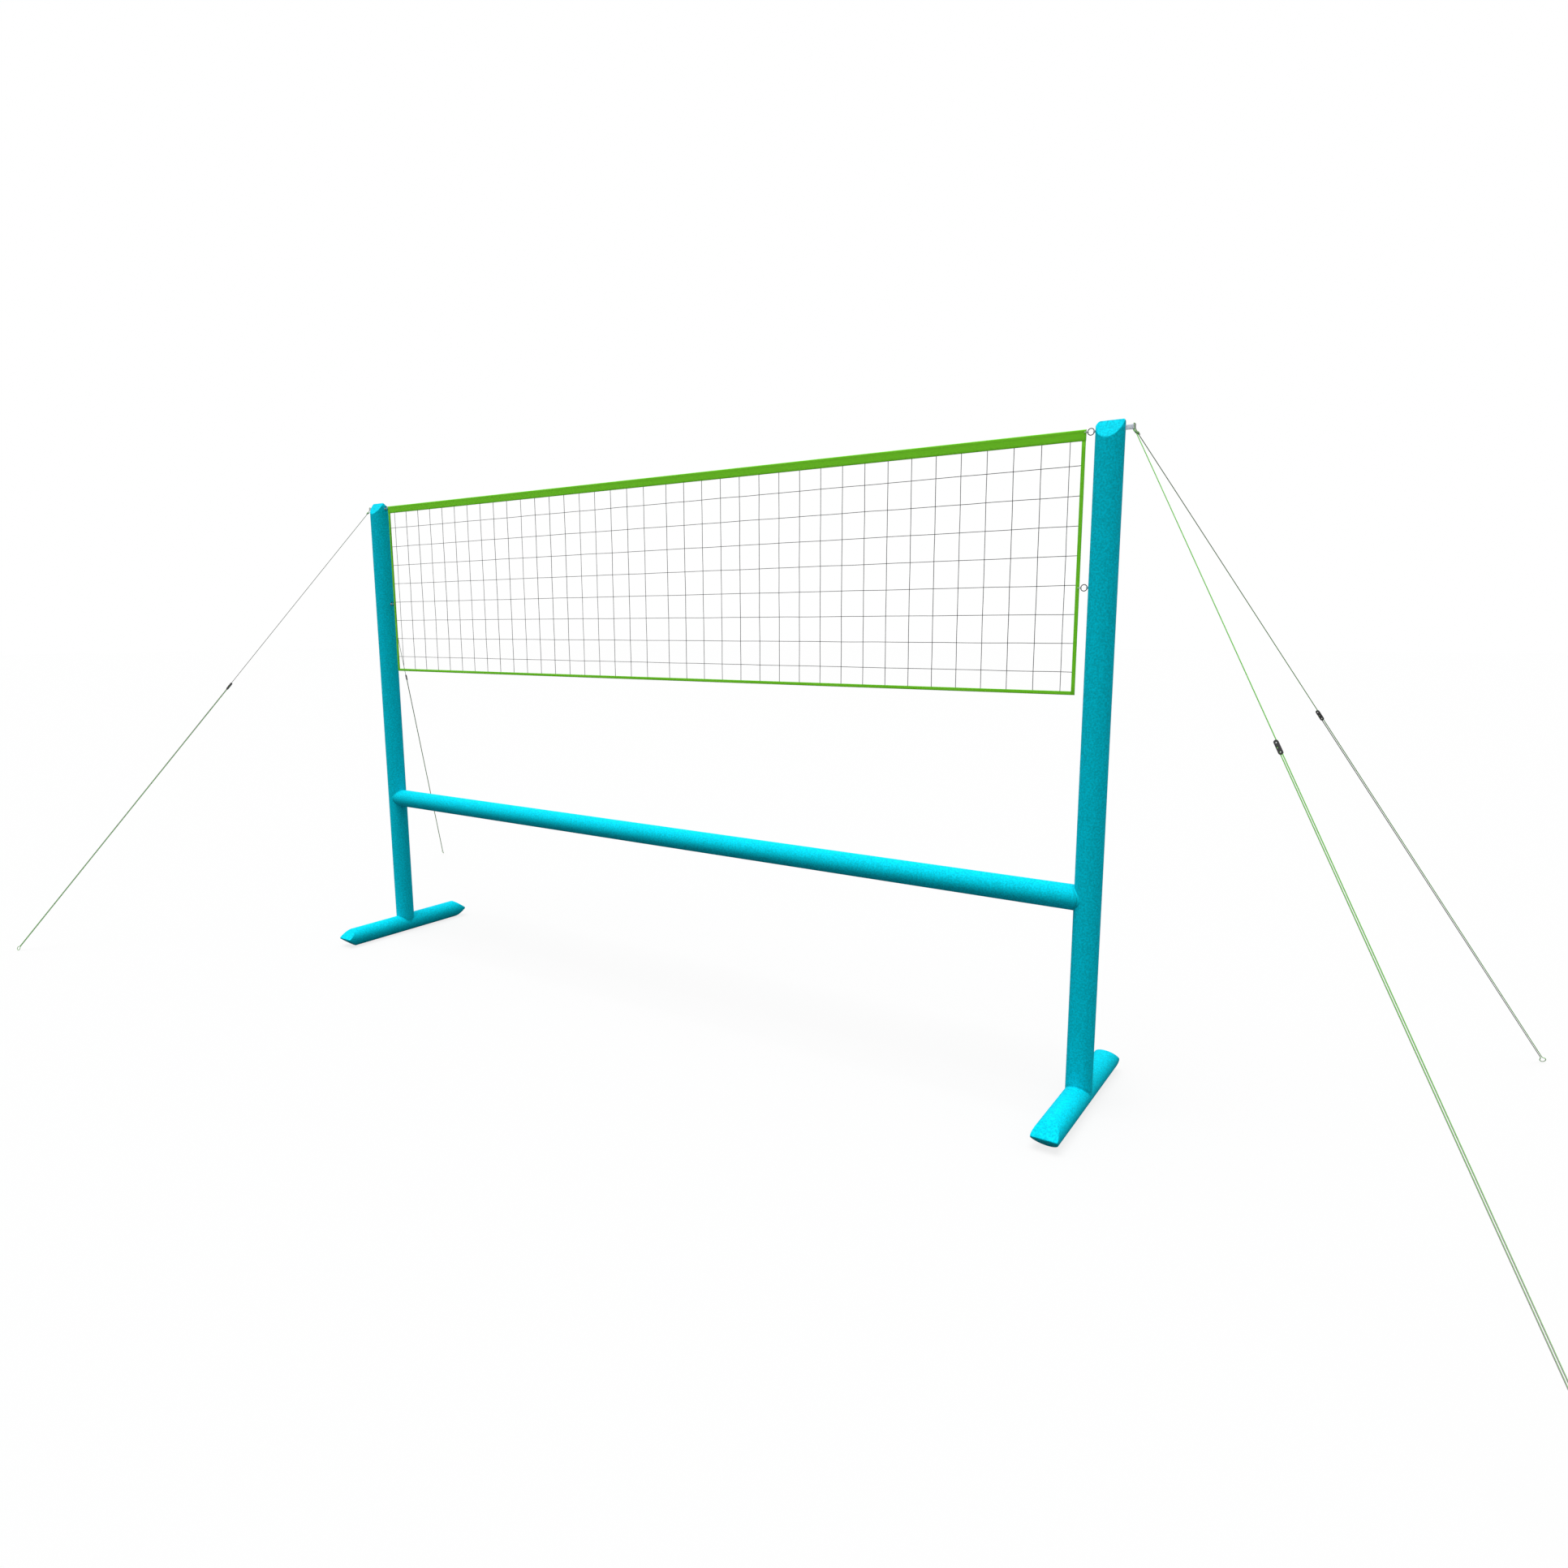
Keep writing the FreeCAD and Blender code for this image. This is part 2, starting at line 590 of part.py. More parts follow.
def top_band():
    """Webbing folded over the mesh, with a round hem above it for the headline cord."""
    body = new_body("top_band")
    section = sketch_on(body, "YZ_Plane")
    mesh_top = f"({BAND_BASE} + Sizes.mesh_hem + Sizes.seam_gap)"
    draw_polygon(section, [
        (f"-{BAND_HALF}", BAND_BASE),
        (f"-{SLOT_HALF}", BAND_BASE),
        (f"-{SLOT_HALF}", mesh_top),
        (SLOT_HALF, mesh_top),
        (SLOT_HALF, BAND_BASE),
        (BAND_HALF, BAND_BASE),
        (BAND_HALF, NET_TOP),
        (f"-{BAND_HALF}", NET_TOP),
    ])
    draw_circle(section, "0", f"{NET_TOP} - Sizes.headline_drop",
                "Sizes.headline_radius + Sizes.seam_gap")
    pad(body, section, f"2 * {NET_HALF}", both_ways=True)
    holes = sketch_on(body, "XZ_Plane")
    for name, side in SIDES:
        draw_circle(holes, f"{side} * {TIE_HOLE_X}", TOP_RING_Z, TIE_HOLE)
    pocket_through(body, holes)
    keep(body, "top_band")


def side_tape(name, side):
    """Webbing folded round the end of the mesh, with one hole for the lower tie."""
    body = bind(new_body(f"{name}_side_tape"), z=NET_BASE)
    section = sketch_on(body, "XY_Plane")
    inner = f"{side} * {TAPE_EDGE_X}"
    slot = f"{side} * ({TAPE_EDGE_X} + Sizes.mesh_tuck + Sizes.seam_gap)"
    outer = f"{side} * {NET_HALF}"
    draw_polygon(section, [
        (inner, f"-{TAPE_HALF}"),
        (outer, f"-{TAPE_HALF}"),
        (outer, TAPE_HALF),
        (inner, TAPE_HALF),
        (inner, SLOT_HALF),
        (slot, SLOT_HALF),
        (slot, f"-{SLOT_HALF}"),
        (inner, f"-{SLOT_HALF}"),
    ])
    pad(body, section, f"{BAND_BASE} - {NET_BASE}")
    hole = sketch_on(body, "XZ_Plane")
    draw_circle(hole, f"{side} * {TIE_HOLE_X}", f"{MID_RING_Z} - {NET_BASE}", TIE_HOLE)
    pocket_through(body, hole)
    keep(body, f"{name}_side_tape")


def bottom_tape():
    body = new_body("bottom_tape")
    section = sketch_on(body, "YZ_Plane")
    top = f"({NET_BASE} + Sizes.tape_width)"
    slot = f"({top} - Sizes.mesh_tuck - Sizes.seam_gap)"
    draw_polygon(section, [
        (f"-{TAPE_HALF}", NET_BASE),
        (TAPE_HALF, NET_BASE),
        (TAPE_HALF, top),
        (SLOT_HALF, top),
        (SLOT_HALF, slot),
        (f"-{SLOT_HALF}", slot),
        (f"-{SLOT_HALF}", top),
        (f"-{TAPE_HALF}", top),
    ])
    pad(body, section, f"2 * {TAPE_EDGE_X}", both_ways=True)
    keep(body, "bottom_tape")


def rectangle_wire(left, right, base, top, depth):
    """A rectangle in the plane of the net, at a given depth."""
    corners = [(left, base), (right, base), (right, top), (left, top), (left, base)]
    return Part.makePolygon([Vector(across, depth, up) for across, up in corners])


def net_mesh():
    """The whole mesh as one face with a hole for each gap, made as thick as its strings."""
    half = number(f"{TAPE_EDGE_X} + Sizes.mesh_tuck")
    base = number(f"{NET_BASE} + Sizes.tape_width - Sizes.mesh_tuck")
    top = number(f"{BAND_BASE} + Sizes.mesh_hem")
    string = number("Sizes.mesh_string / 2")
    thickness = number("Sizes.mesh_thickness")
    columns = round(number("Sizes.mesh_columns"))
    rows = round(number("Sizes.mesh_rows"))
    clear_half = number(f"{TAPE_EDGE_X} + Sizes.selvedge")
    width = 2 * clear_half / columns
    levels = [number(f"{NET_TOP} - Sizes.mesh_first - {row} * Sizes.mesh_pitch")
              for row in range(rows - 1)]
    tops = [number(f"{BAND_BASE} + Sizes.selvedge")] + [level - string for level in levels]
    bases = [level + string for level in levels]
    bases.append(number(f"{NET_BASE} + Sizes.tape_width - Sizes.selvedge"))
    depth = -thickness / 2
    wires = [rectangle_wire(-half, half, base, top, depth)]
    for column in range(columns):
        left = -clear_half + column * width + (string if column > 0 else 0)
        right = -clear_half + (column + 1) * width - (string if column < columns - 1 else 0)
        for row_base, row_top in zip(bases, tops):
            wires.append(rectangle_wire(left, right, row_base, row_top, depth))
    mesh = doc.addObject("Part::Feature", "net_mesh")
    mesh.Shape = Part.makeFace(wires, "Part::FaceMakerBullseye").extrude(Vector(0, thickness, 0))
    keep(mesh, "net_mesh")


top_band()
for side_name, side in SIDES:
    side_tape(side_name, side)
bottom_tape()
net_mesh()
keep(cylinder("Sizes.headline_radius", f"2 * {NET_HALF} - 2 * Sizes.seam_gap", Vector(1, 0, 0),
              x=f"Sizes.seam_gap - {NET_HALF}", z=f"{NET_TOP} - Sizes.headline_drop"),
     "headline_cord")


# Guy tabs: webbing folded round an upright hole at the outer side of each post.


def guy_tab(name, side):
    body = bind(new_body(f"{name}_guy_tab"), x=f"{side} * {POST_X}",
                z=f"{NET_TOP} - Sizes.guy_tab_height")
    hole_x = f"{side} * {GUY_HOLE_X}"
    loop = sketch_on(body, "XY_Plane")
    draw_circle(loop, hole_x, "0", f"{GUY_HOLE} + Sizes.webbing")
    pad(body, loop, "Sizes.guy_tab_height")
    tail = sketch_on(body, "XY_Plane")
    draw_rectangle(tail, f"{side} * (Sizes.post_radius + Sizes.joint_gap)", hole_x,
                   "-Sizes.webbing", "Sizes.webbing")
    pad(body, tail, "Sizes.guy_tab_height")
    hole = sketch_on(body, "XY_Plane")
    draw_circle(hole, hole_x, "0", GUY_HOLE)
    pocket_through(body, hole)
    keep(body, f"{name}_guy_tab")


for side_name, side in SIDES:
    guy_tab(side_name, side)


# Guy ropes. Each has an eye through the guy tab, a knot, one long straight strand down to a
# loop at the ground, and a second strand from the loop back up to the knot in the runner.


class Rope:
    """The line of one guy rope: its directions, its ends and where its runner sits."""

    def __init__(self, side, end):
        value = number
        turn = math.radians(value("Sizes.guy_angle"))
        self.plan = Vector(side * math.cos(turn), end * math.sin(turn), 0)
        self.offset = value("Sizes.rope_radius + Sizes.rope_gap")
        self.hole = Vector(side * value(f"{POST_X} + {GUY_HOLE_X}"), 0, value(GUY_TAB_Z))
        self.top = self.hole + Vector(0, end * self.offset, 0)
        drop = self.top.z - value("Sizes.loop_height")
        fall = self.plan * value("Sizes.anchor_reach") - Vector(0, 0, drop)
        self.length = fall.Length
        self.down = fall.normalize()
        self.across = Vector(-side * self.down.z, 0, side * self.down.x).normalize()
        self.normal = (-self.down).cross(self.across)
        self.spacing = value("Sizes.strand_spacing")

    def main(self, distance):
        """A point of the long strand, by its distance from the tab."""
        return self.top + self.down * distance

    def back(self, distance):
        """The point of the returning strand beside that one."""
        return self.main(distance) - self.across * self.spacing

    def middle(self, distance):
        return self.main(distance) - self.across * (self.spacing / 2)


def eye(rope):
    """The eye: up outside the tab, over its edge and down through its hole to the knot."""
    value = number
    radius = value("Sizes.rope_radius")
    bend = value("Sizes.eye_bend")
    tab_half = value("Sizes.guy_tab_height / 2")
    wall = value(f"{GUY_HOLE} + Sizes.webbing + Sizes.joint_gap") + radius
    out = wall - rope.offset * abs(rope.plan.y)
    crown = tab_half + value("Sizes.joint_gap") + out / 2
    knot = rope.main(value("Sizes.eye_length"))
    sideways = (rope.plan * -rope.down.z + Vector(0, 0, 1) * rope.down.dot(rope.plan)) * rope.offset
    up = Vector(0, 0, 1)
    points = [
        knot + sideways,
        rope.top + rope.plan * out,
        rope.top + rope.plan * out + up * crown,
        rope.top + up * crown,
        rope.top - up * (tab_half + value("Sizes.eye_drop")),
        knot - sideways,
    ]
    return rounded_path(points, [bend, out / 2, out / 2, bend]), knot


def ground_loop(rope):
    """The long strand with the loop at its end: two flaring arcs and one wide one."""
    value = number
    wide = value("Sizes.loop_radius")
    flare = value("Sizes.loop_flare")
    half = rope.spacing / 2
    opening = math.sqrt((flare + wide) ** 2 - (flare + half) ** 2)
    start = rope.length - opening

    def place(along, across):
        return rope.middle(along) + rope.across * across

    def on_flare(side, angle):
        return place(start + flare * math.sin(angle), side * (half + flare - flare * math.cos(angle)))

    lean = math.atan2(opening, flare + half)
    edges = [
        Part.LineSegment(rope.main(value("Sizes.eye_length")), place(start, half)).toShape(),
        Part.Arc(on_flare(1, 0), on_flare(1, lean / 2), on_flare(1, lean)).toShape(),
        Part.Arc(on_flare(1, lean), place(rope.length + wide, 0), on_flare(-1, lean)).toShape(),
        Part.Arc(on_flare(-1, lean), on_flare(-1, lean / 2), on_flare(-1, 0)).toShape(),
    ]
    return Part.Wire(edges), start


def rope_piece(shape, name):
    piece = doc.addObject("Part::Feature", name)
    piece.Shape = shape
    return keep(piece, name)


def runner(rope, name):
    """Flat bar with rounded ends, two lengthwise tunnels, two end holes and a knot pocket."""
    body = new_body(name)
    half_width = "(Sizes.runner_width / 2)"
    end = f"(Sizes.runner_length / 2 - {half_width})"
    lane = "(Sizes.strand_spacing / 2)"
    tunnel = "Sizes.rope_radius + Sizes.tunnel_gap"
    bar = sketch_on(body, "XY_Plane")
    draw_rectangle(bar, f"-{end}", end, f"-{half_width}", half_width)
    pad(body, bar, "Sizes.runner_thickness", both_ways=True)
    for sign in ("-", ""):
        nose = sketch_on(body, "XY_Plane")
        draw_circle(nose, f"{sign}{end}", "0", half_width)
        whole = pad(body, nose, "Sizes.runner_thickness", both_ways=True)
    doc.recompute()
    face_height = number("Sizes.runner_thickness / 2") - 1e-3
    rims = [f"Edge{turn}" for turn, edge in enumerate(whole.Shape.Edges, start=1)
            if abs(edge.CenterOfMass.z) > face_height]
    rounding = body.newObject("PartDesign::Fillet", "rounding")
    rounding.Base = (whole, rims)
    rounding.setExpression("Radius", "Sizes.runner_edge")
    holes = sketch_on(body, "XY_Plane")
    for sign in ("-", ""):
        draw_circle(holes, f"{sign}Sizes.runner_hole_place", "0", "Sizes.runner_hole")
    draw_circle(holes, "0", f"-{lane}", "Sizes.stopper_radius + Sizes.tunnel_gap")
    pocket_through(body, holes)
    main_tunnel = sketch_on(body, "YZ_Plane")
    draw_circle(main_tunnel, lane, "0", tunnel)
    pocket_through(body, main_tunnel)
    end_tunnel = sketch_on(body, "YZ_Plane")
    draw_circle(end_tunnel, f"-{lane}", "0", tunnel)
    blind = body.newObject("PartDesign::Pocket", "pocket")
    blind.Profile = end_tunnel
    blind.Type = "Length"
    blind.setExpression("Length", "Sizes.runner_length")
    turn = Rotation(-rope.down, rope.across, rope.normal, "XYZ")
    body.Placement = Placement(rope.middle(number("Sizes.runner_place")), turn)
    keep(body, name)


for side_name, side in SIDES:
    for end_name, end in ENDS:
        rope = Rope(side, end)
        place = f"{side_name}_{end_name}"
        rope_radius = number("Sizes.rope_radius")
        eye_path, knot_point = eye(rope)
        line_path, loop_start = ground_loop(rope)
        knot = Part.makeSphere(number("Sizes.knot_radius"), knot_point)
        strand = tube(line_path, rope_radius, f"{place} line")
        loop = tube(eye_path, rope_radius, f"{place} eye")
        rope_piece(knot.fuse([strand, loop]), f"guy_line_{place}")
        stop = number("Sizes.runner_place")
        stopper = number("Sizes.stopper_radius")
        top_end = stop + stopper + number("Sizes.tunnel_gap")
        back = Part.makeCylinder(rope_radius, loop_start - top_end, rope.back(top_end), rope.down)
        rope_piece(back, f"guy_return_{place}")
        rope_piece(Part.makeSphere(stopper, rope.back(stop)), f"guy_stopper_{place}")
        runner(rope, f"runner_{place}")
print("cord radii: loop", number("Sizes.loop_radius"), "flare", number("Sizes.loop_flare"),
      "eye bend", number("Sizes.eye_bend"), "cord", number("Sizes.rope_radius"))


# Every object must have worked out, and every node must be a valid shape.
doc.recompute()
for thing in doc.Objects:
    if "Invalid" in thing.State or "Error" in thing.State:
        raise RuntimeError(f"{thing.Label} did not work out: {thing.State}")
for piece in nodes:
    if piece.Shape.isNull() or not piece.Shape.isValid():
        raise RuntimeError(f"{piece.Label} has no valid shape")

os.makedirs("parts", exist_ok=True)
for piece in nodes:
    piece.Shape.exportStep(f"parts/{piece.Label}.step")
    box = piece.Shape.BoundBox
    print(f"{piece.Label}: {len(piece.Shape.Solids)} solid, volume {piece.Shape.Volume:.1f}, "
          f"x {box.XMin:.1f}..{box.XMax:.1f}, y {box.YMin:.1f}..{box.YMax:.1f}, "
          f"z {box.ZMin:.1f}..{box.ZMax:.1f}")
print(len(nodes), "nodes")
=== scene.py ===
import math

import bpy
from mathutils import Matrix, Vector


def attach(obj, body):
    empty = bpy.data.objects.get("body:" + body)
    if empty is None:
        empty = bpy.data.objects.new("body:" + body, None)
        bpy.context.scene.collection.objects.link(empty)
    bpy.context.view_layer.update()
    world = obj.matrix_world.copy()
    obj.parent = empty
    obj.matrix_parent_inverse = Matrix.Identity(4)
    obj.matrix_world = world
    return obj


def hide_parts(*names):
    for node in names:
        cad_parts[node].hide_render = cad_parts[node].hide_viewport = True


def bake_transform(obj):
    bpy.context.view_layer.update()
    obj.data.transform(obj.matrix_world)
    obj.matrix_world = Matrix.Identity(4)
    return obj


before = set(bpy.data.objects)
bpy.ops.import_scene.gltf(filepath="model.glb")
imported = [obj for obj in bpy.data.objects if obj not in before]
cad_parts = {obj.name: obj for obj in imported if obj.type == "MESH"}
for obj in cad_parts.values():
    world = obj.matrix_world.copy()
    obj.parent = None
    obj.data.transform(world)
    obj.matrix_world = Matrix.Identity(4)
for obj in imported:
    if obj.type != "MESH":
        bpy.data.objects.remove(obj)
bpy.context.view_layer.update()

sides = (("left", -1), ("right", 1))
ends = (("front", -1), ("back", 1))


# Camera. It stands off the front right corner of the net at a standing person's eye height and
# looks a little down, with the wide lens and slight roll that the photograph's lines give.
scene = bpy.context.scene
scene.view_settings.view_transform = "Standard"
camera = bpy.data.objects.new("camera", bpy.data.cameras.new("camera"))
camera.data.lens = 22.52
camera.data.clip_end = 200
camera.location = (2.9656, -3.4735, 1.7708)
camera.rotation_euler = (math.radians(80.949), 0, math.radians(33.246))
camera.rotation_euler.rotate_axis("Z", math.radians(-0.09))
bpy.context.collection.objects.link(camera)
scene.camera = camera


# Guy ropes. Four lengths of 3 mm braided polyester, half of the yarns green and half grey. Each
# starts in a tail at its knot, makes an eye through the tab at the post's head, runs down to the
# ground, opens into a loop for a peg and comes back up beside itself to the runner.
post_x = 2
tab_eye = 0.0755
guy_tab_height = 2.427
rope_radius = 0.0015
rope_length = 3.1341
ground_reach = 2.0
ground_drop = 2.413
knot_place = 0.025
eye_reach = 0.0062
strand_half_gap = 0.0017
strand_gap = 0.005
runner_place = 1.263
runner_pocket = 0.0027
# The turn of each rope about its own line, which sets where its green half faces.
rope_turns = {"right_front": 0.46, "right_back": 0.96, "left_front": 0.2, "left_back": 0.7}
return_turn = 0.86


class Tone:
    """A value that varies over a surface. Sums and products of tones add their Math nodes."""

    def __init__(self, finish, socket):
        self.finish = finish
        self.socket = socket

    def work(self, operation, *values):
        return self.finish.node("ShaderNodeMath", {"operation": operation},
                                dict(enumerate(values)))

    def __add__(self, other):
        return self.work("ADD", self, other)

    def __sub__(self, other):
        return self.work("SUBTRACT", self, other)

    def __rsub__(self, other):
        return self.work("SUBTRACT", other, self)

    def __mul__(self, other):
        return self.work("MULTIPLY", self, other)

    __radd__ = __add__

    def wave(self, pitch):
        """Rises and falls between -1 and 1 once in every pitch."""
        turned = self * (math.tau / pitch)
        return self.work("SINE", turned)

    def size(self):
        return self.work("ABSOLUTE", self)

    def root(self):
        return self.work("SQRT", self)

    def near(self, value, half, soft):
        """1 where the tone is within half of a value, falling to 0 over a soft edge."""
        return self.finish.node(
            "ShaderNodeMapRange", {"interpolation_type": "SMOOTHSTEP"},
            {0: (self - value).size(), 1: half, 2: half + soft, 3: 1, 4: 0})

    def above(self, low, high):
        """0 below low, 1 above high and a smooth rise between."""
        return self.finish.node("ShaderNodeMapRange", {"interpolation_type": "SMOOTHSTEP"},
                                {0: self, 1: low, 2: high, 3: 0, 4: 1})


class Finish:
    """A material, built from nodes that are given by type, settings and sockets."""

    def __init__(self, name, roughness=0.5, metallic=0.0, specular=0.5, coat=0.0):
        self.material = bpy.data.materials.new(name)
        self.material.use_nodes = True
        self.tree = self.material.node_tree
        self.shader = self.tree.nodes["Principled BSDF"]
        self.put({"Roughness": roughness, "Metallic": metallic, "Specular IOR Level": specular,
                  "Coat Weight": coat})

    def join(self, node, sockets):
        for key, value in sockets.items():
            if isinstance(value, Tone):
                self.tree.links.new(value.socket, node.inputs[key])
            else:
                node.inputs[key].default_value = value

    def put(self, sockets):
        self.join(self.shader, sockets)

    def node(self, kind, settings=None, sockets=None, output=0):
        added = self.tree.nodes.new(kind)
        for key, value in (settings or {}).items():
            setattr(added, key, value)
        self.join(added, sockets or {})
        return Tone(self, added.outputs[output])

    def place(self, kind="Object"):
        """The three parts of a surface point, in metres."""
        point = self.node("ShaderNodeTexCoord", output=kind)
        return [self.node("ShaderNodeSeparateXYZ", None, {0: point}, part) for part in range(3)]

    def facing(self):
        """The three parts of the direction that a face looks in."""
        way = self.node("ShaderNodeNewGeometry", output="True Normal")
        return [self.node("ShaderNodeSeparateXYZ", None, {0: way}, part) for part in range(3)]

    def noise(self, scale, detail=2):
        point = self.node("ShaderNodeTexCoord", output="Object")
        return self.node("ShaderNodeTexNoise", None,
                         {"Vector": point, "Scale": scale, "Detail": detail})

    def mix(self, share, first, second):
        return self.node("ShaderNodeMix", {"data_type": "RGBA"},
                         {0: share, 6: first, 7: second}, 2)

    def bump(self, height, distance, strength=1.0):
        normal = self.node("ShaderNodeBump", None,
                           {"Height": height, "Distance": distance, "Strength": strength})
        self.put({"Normal": normal})

    def dress(self, *pieces):
        for piece in pieces:
            piece.data.materials.clear()
            piece.data.materials.append(self.material)


def choose(piece):
    """Selects one piece alone and makes it the active one."""
    bpy.ops.object.select_all(action="DESELECT")
    piece.select_set(True)
    bpy.context.view_layer.objects.active = piece


def rope_finish():
    """Sixteen-strand braid: diamonds of yarn, one half of the rope green and the other grey."""
    rope = Finish("braided_guy_rope", roughness=0.62, specular=0.35)
    along, around = rope.place("UV")[:2]
    right_hand = (along * 250 + around * 4).wave(1)
    left_hand = (along * 250 - around * 4).wave(1)
    yarns = right_hand * left_hand
    green_side = (around + along * 0.12).wave(1)
    share = (green_side + yarns * 0.25).above(-0.12, 0.12)
    fibre = rope.noise(1800)
    green = rope.mix(fibre, (0.12, 0.48, 0.045, 1), (0.20, 0.72, 0.09, 1))
    grey = rope.mix(fibre, (0.27, 0.27, 0.25, 1), (0.48, 0.48, 0.45, 1))
    rope.put({"Base Color": rope.mix(share, grey, green), "Roughness": 0.55 + yarns * 0.1})
    rope.bump(yarns.size() + fibre * 0.25, 0.00025)
    return rope


def rope_route(name, points, steps=14):
    """A smooth line through the route of a rope, with so many steps to each of its points."""
    curve = bpy.data.curves.new(name, "CURVE")
    curve.dimensions = "3D"
    line = curve.splines.new("NURBS")
    line.points.add(len(points) - 1)
    for knot, point in zip(line.points, points):
        knot.co = (*point, 1)
    line.order_u = 3
    line.use_endpoint_u = True
    line.resolution_u = steps
    rope = bpy.data.objects.new(name, curve)
    bpy.context.collection.objects.link(rope)
    return rope


def rope_tube(rope, radius, turn):
    """The round cord along a route, with a map of its length and girth; gives its centre line."""
    line = [vertex.co.copy() for vertex in bpy.data.meshes.new_from_object(rope).vertices]
    travel = [0.0]
    for here, there in zip(line, line[1:]):
        travel.append(travel[-1] + (there - here).length)
    rope.data.bevel_depth = radius
    rope.data.bevel_resolution = 3
    rope.data.use_fill_caps = True
    choose(rope)
    bpy.ops.object.convert(target="MESH")
    for corner in rope.data.uv_layers[0].data:
        step = round(corner.uv.x * (len(line) - 1))
        corner.uv = (travel[min(step, len(line) - 1)], corner.uv.y + turn)
    bpy.ops.object.shade_smooth_by_angle(angle=math.radians(50))
    return line


braid = rope_finish()
ropes = {}
for side_name, side in sides:
    for end_name, end in ends:
        name = f"{side_name}_{end_name}"
        tab_hole = Vector((side * (post_x + tab_eye), 0, guy_tab_height))
        top = tab_hole + Vector((0, end * strand_half_gap, 0))
        away = Vector((side, end, 0)).normalized()
        down = (away * ground_reach - Vector((0, 0, ground_drop))).normalized()
        across = Vector((-side * down.z, 0, side * down.x)).normalized()
        up = Vector((0, 0, 1))
        sideways = (away * -down.z + up * down.dot(away)) * strand_half_gap
        knot = top + down * knot_place
        middle = top - across * strand_gap / 2

        def loop_point(along, out):
            """A point of the ground loop, from its middle."""
            return middle + down * (rope_length + along) + across * out

        # Tail and knot, over the tab and down through it, knot again, and the run to the loop.
        route = [
            top + down * 0.034 + sideways * 1.8,
            knot + sideways,
            top + away * eye_reach - up * 0.0075,
            top + away * eye_reach + up * 0.0054,
            top + away * eye_reach + up * 0.0090,
            top + away * 0.0031 + up * 0.0108,
            top + up * 0.0090,
            top + up * 0.0054,
            top - up * 0.0135,
            knot - sideways,
            top + down * 0.043,
            loop_point(-0.0246, 0.0025),
            loop_point(-0.0116, 0.0025),
            loop_point(-0.0023, 0.0118),
            loop_point(0.010, 0.0066),
            loop_point(0.010, -0.0066),
            loop_point(-0.0023, -0.0118),
            loop_point(-0.0116, -0.0025),
            loop_point(-0.0179, -0.0025),
        ]
        line = rope_route(f"rope_{name}", route)
        line_path = rope_tube(line, rope_radius, rope_turns[name])
        braid.dress(line)
        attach(line, "frame")
        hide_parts(f"guy_line_{name}")
        top + down * 0.012
        ropes[name] = (top, down, across, knot)

        # This strand has rings at its two ends alone, so it runs straight between the ground
        # loop and the runner.
        ground_end = loop_point(-0.0179, -0.0025)
        runner_end = top - across * strand_gap + down * (runner_place + runner_pocket)
        strand = rope_route(f"rope_return_{name}", [ground_end, runner_end], steps=2)
        strand_path = rope_tube(strand, rope_radius, return_turn)
        braid.dress(strand)
        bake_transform(strand)
        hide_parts(f"guy_return_{name}")


# Knots. Each eye is closed by three turns of the rope pulled up tight round both strands, and the
# rope's other end stops in a small round knot seated in the runner's pocket.
turn_pitch = 1.86


def wrap(piece_name, centre, direction, ring, cord, turns, lean):
    """Turns of cord side by side round a line, turn_pitch cord radii apart and leaning alike."""
    made = []
    for turn in range(turns):
        offset = direction * ((turn - (turns - 1) / 2) * turn_pitch * cord)
        tilt = direction.to_track_quat("Z", "Y") @ Matrix.Rotation(lean, 4, "X").to_quaternion()
        bpy.ops.mesh.primitive_torus_add(
            major_radius=ring, minor_radius=cord, major_segments=40, minor_segments=12,
            location=centre + offset, rotation=tilt.to_euler())
        made.append(bpy.context.object)
    for piece in made:
        piece.select_set(True)
    bpy.ops.object.join()
    piece = bpy.context.object
    piece.name = piece_name
    bpy.ops.object.transform_apply(location=True, rotation=True, scale=True)
    for corner in piece.data.uv_layers[0].data:
        corner.uv.x *= math.tau * ring
    bpy.ops.object.shade_smooth()
    braid.dress(piece)
    return piece


for name, (top, down, across, knot) in ropes.items():
    eye_knot = wrap(f"eye_knot_{name}", knot, down, ring=0.0031, cord=0.0014, turns=3, lean=0.16)
    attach(eye_knot, "frame")
    stopper = wrap(f"stopper_knot_{name}", top - across * strand_gap + down * runner_place, down,
                   ring=0.0009, cord=0.00125, turns=2, lean=0.5)
    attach(stopper, f"runner_{name}")
    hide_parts(f"guy_stopper_{name}")


# Runners. Flat bars of moulded black nylon with rounded edges, two tunnels and three holes. The
# long strand of a rope slides through one tunnel and the strand that comes back ends in the other.
nylon = Finish("black_nylon", roughness=0.42, specular=0.5)
grain = nylon.noise(2600, 3)
scuffs = nylon.noise(340, 5).above(0.55, 0.75)
nylon.put({"Base Color": nylon.mix(scuffs, (0.006, 0.006, 0.007, 1), (0.022, 0.022, 0.024, 1)),
           "Roughness": 0.36 + scuffs * 0.2 + grain * 0.1})
nylon.bump(grain, 0.00006, 0.6)
for name in ropes:
    nylon.dress(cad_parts[f"runner_{name}"])


# Webbing. A strip is woven narrow, cut to length, folded along its run, and sewn through both
# layers. Here it is a flat grid of its real size that is folded by the path of its section.
def arc(centre, radius, start, stop, steps):
    """Points of an arc, by its angles in degrees."""
    turns = [math.radians(start + (stop - start) * step / steps) for step in range(steps + 1)]
    return [(centre[0] + radius * math.cos(turn), centre[1] + radius * math.sin(turn))
            for turn in turns]


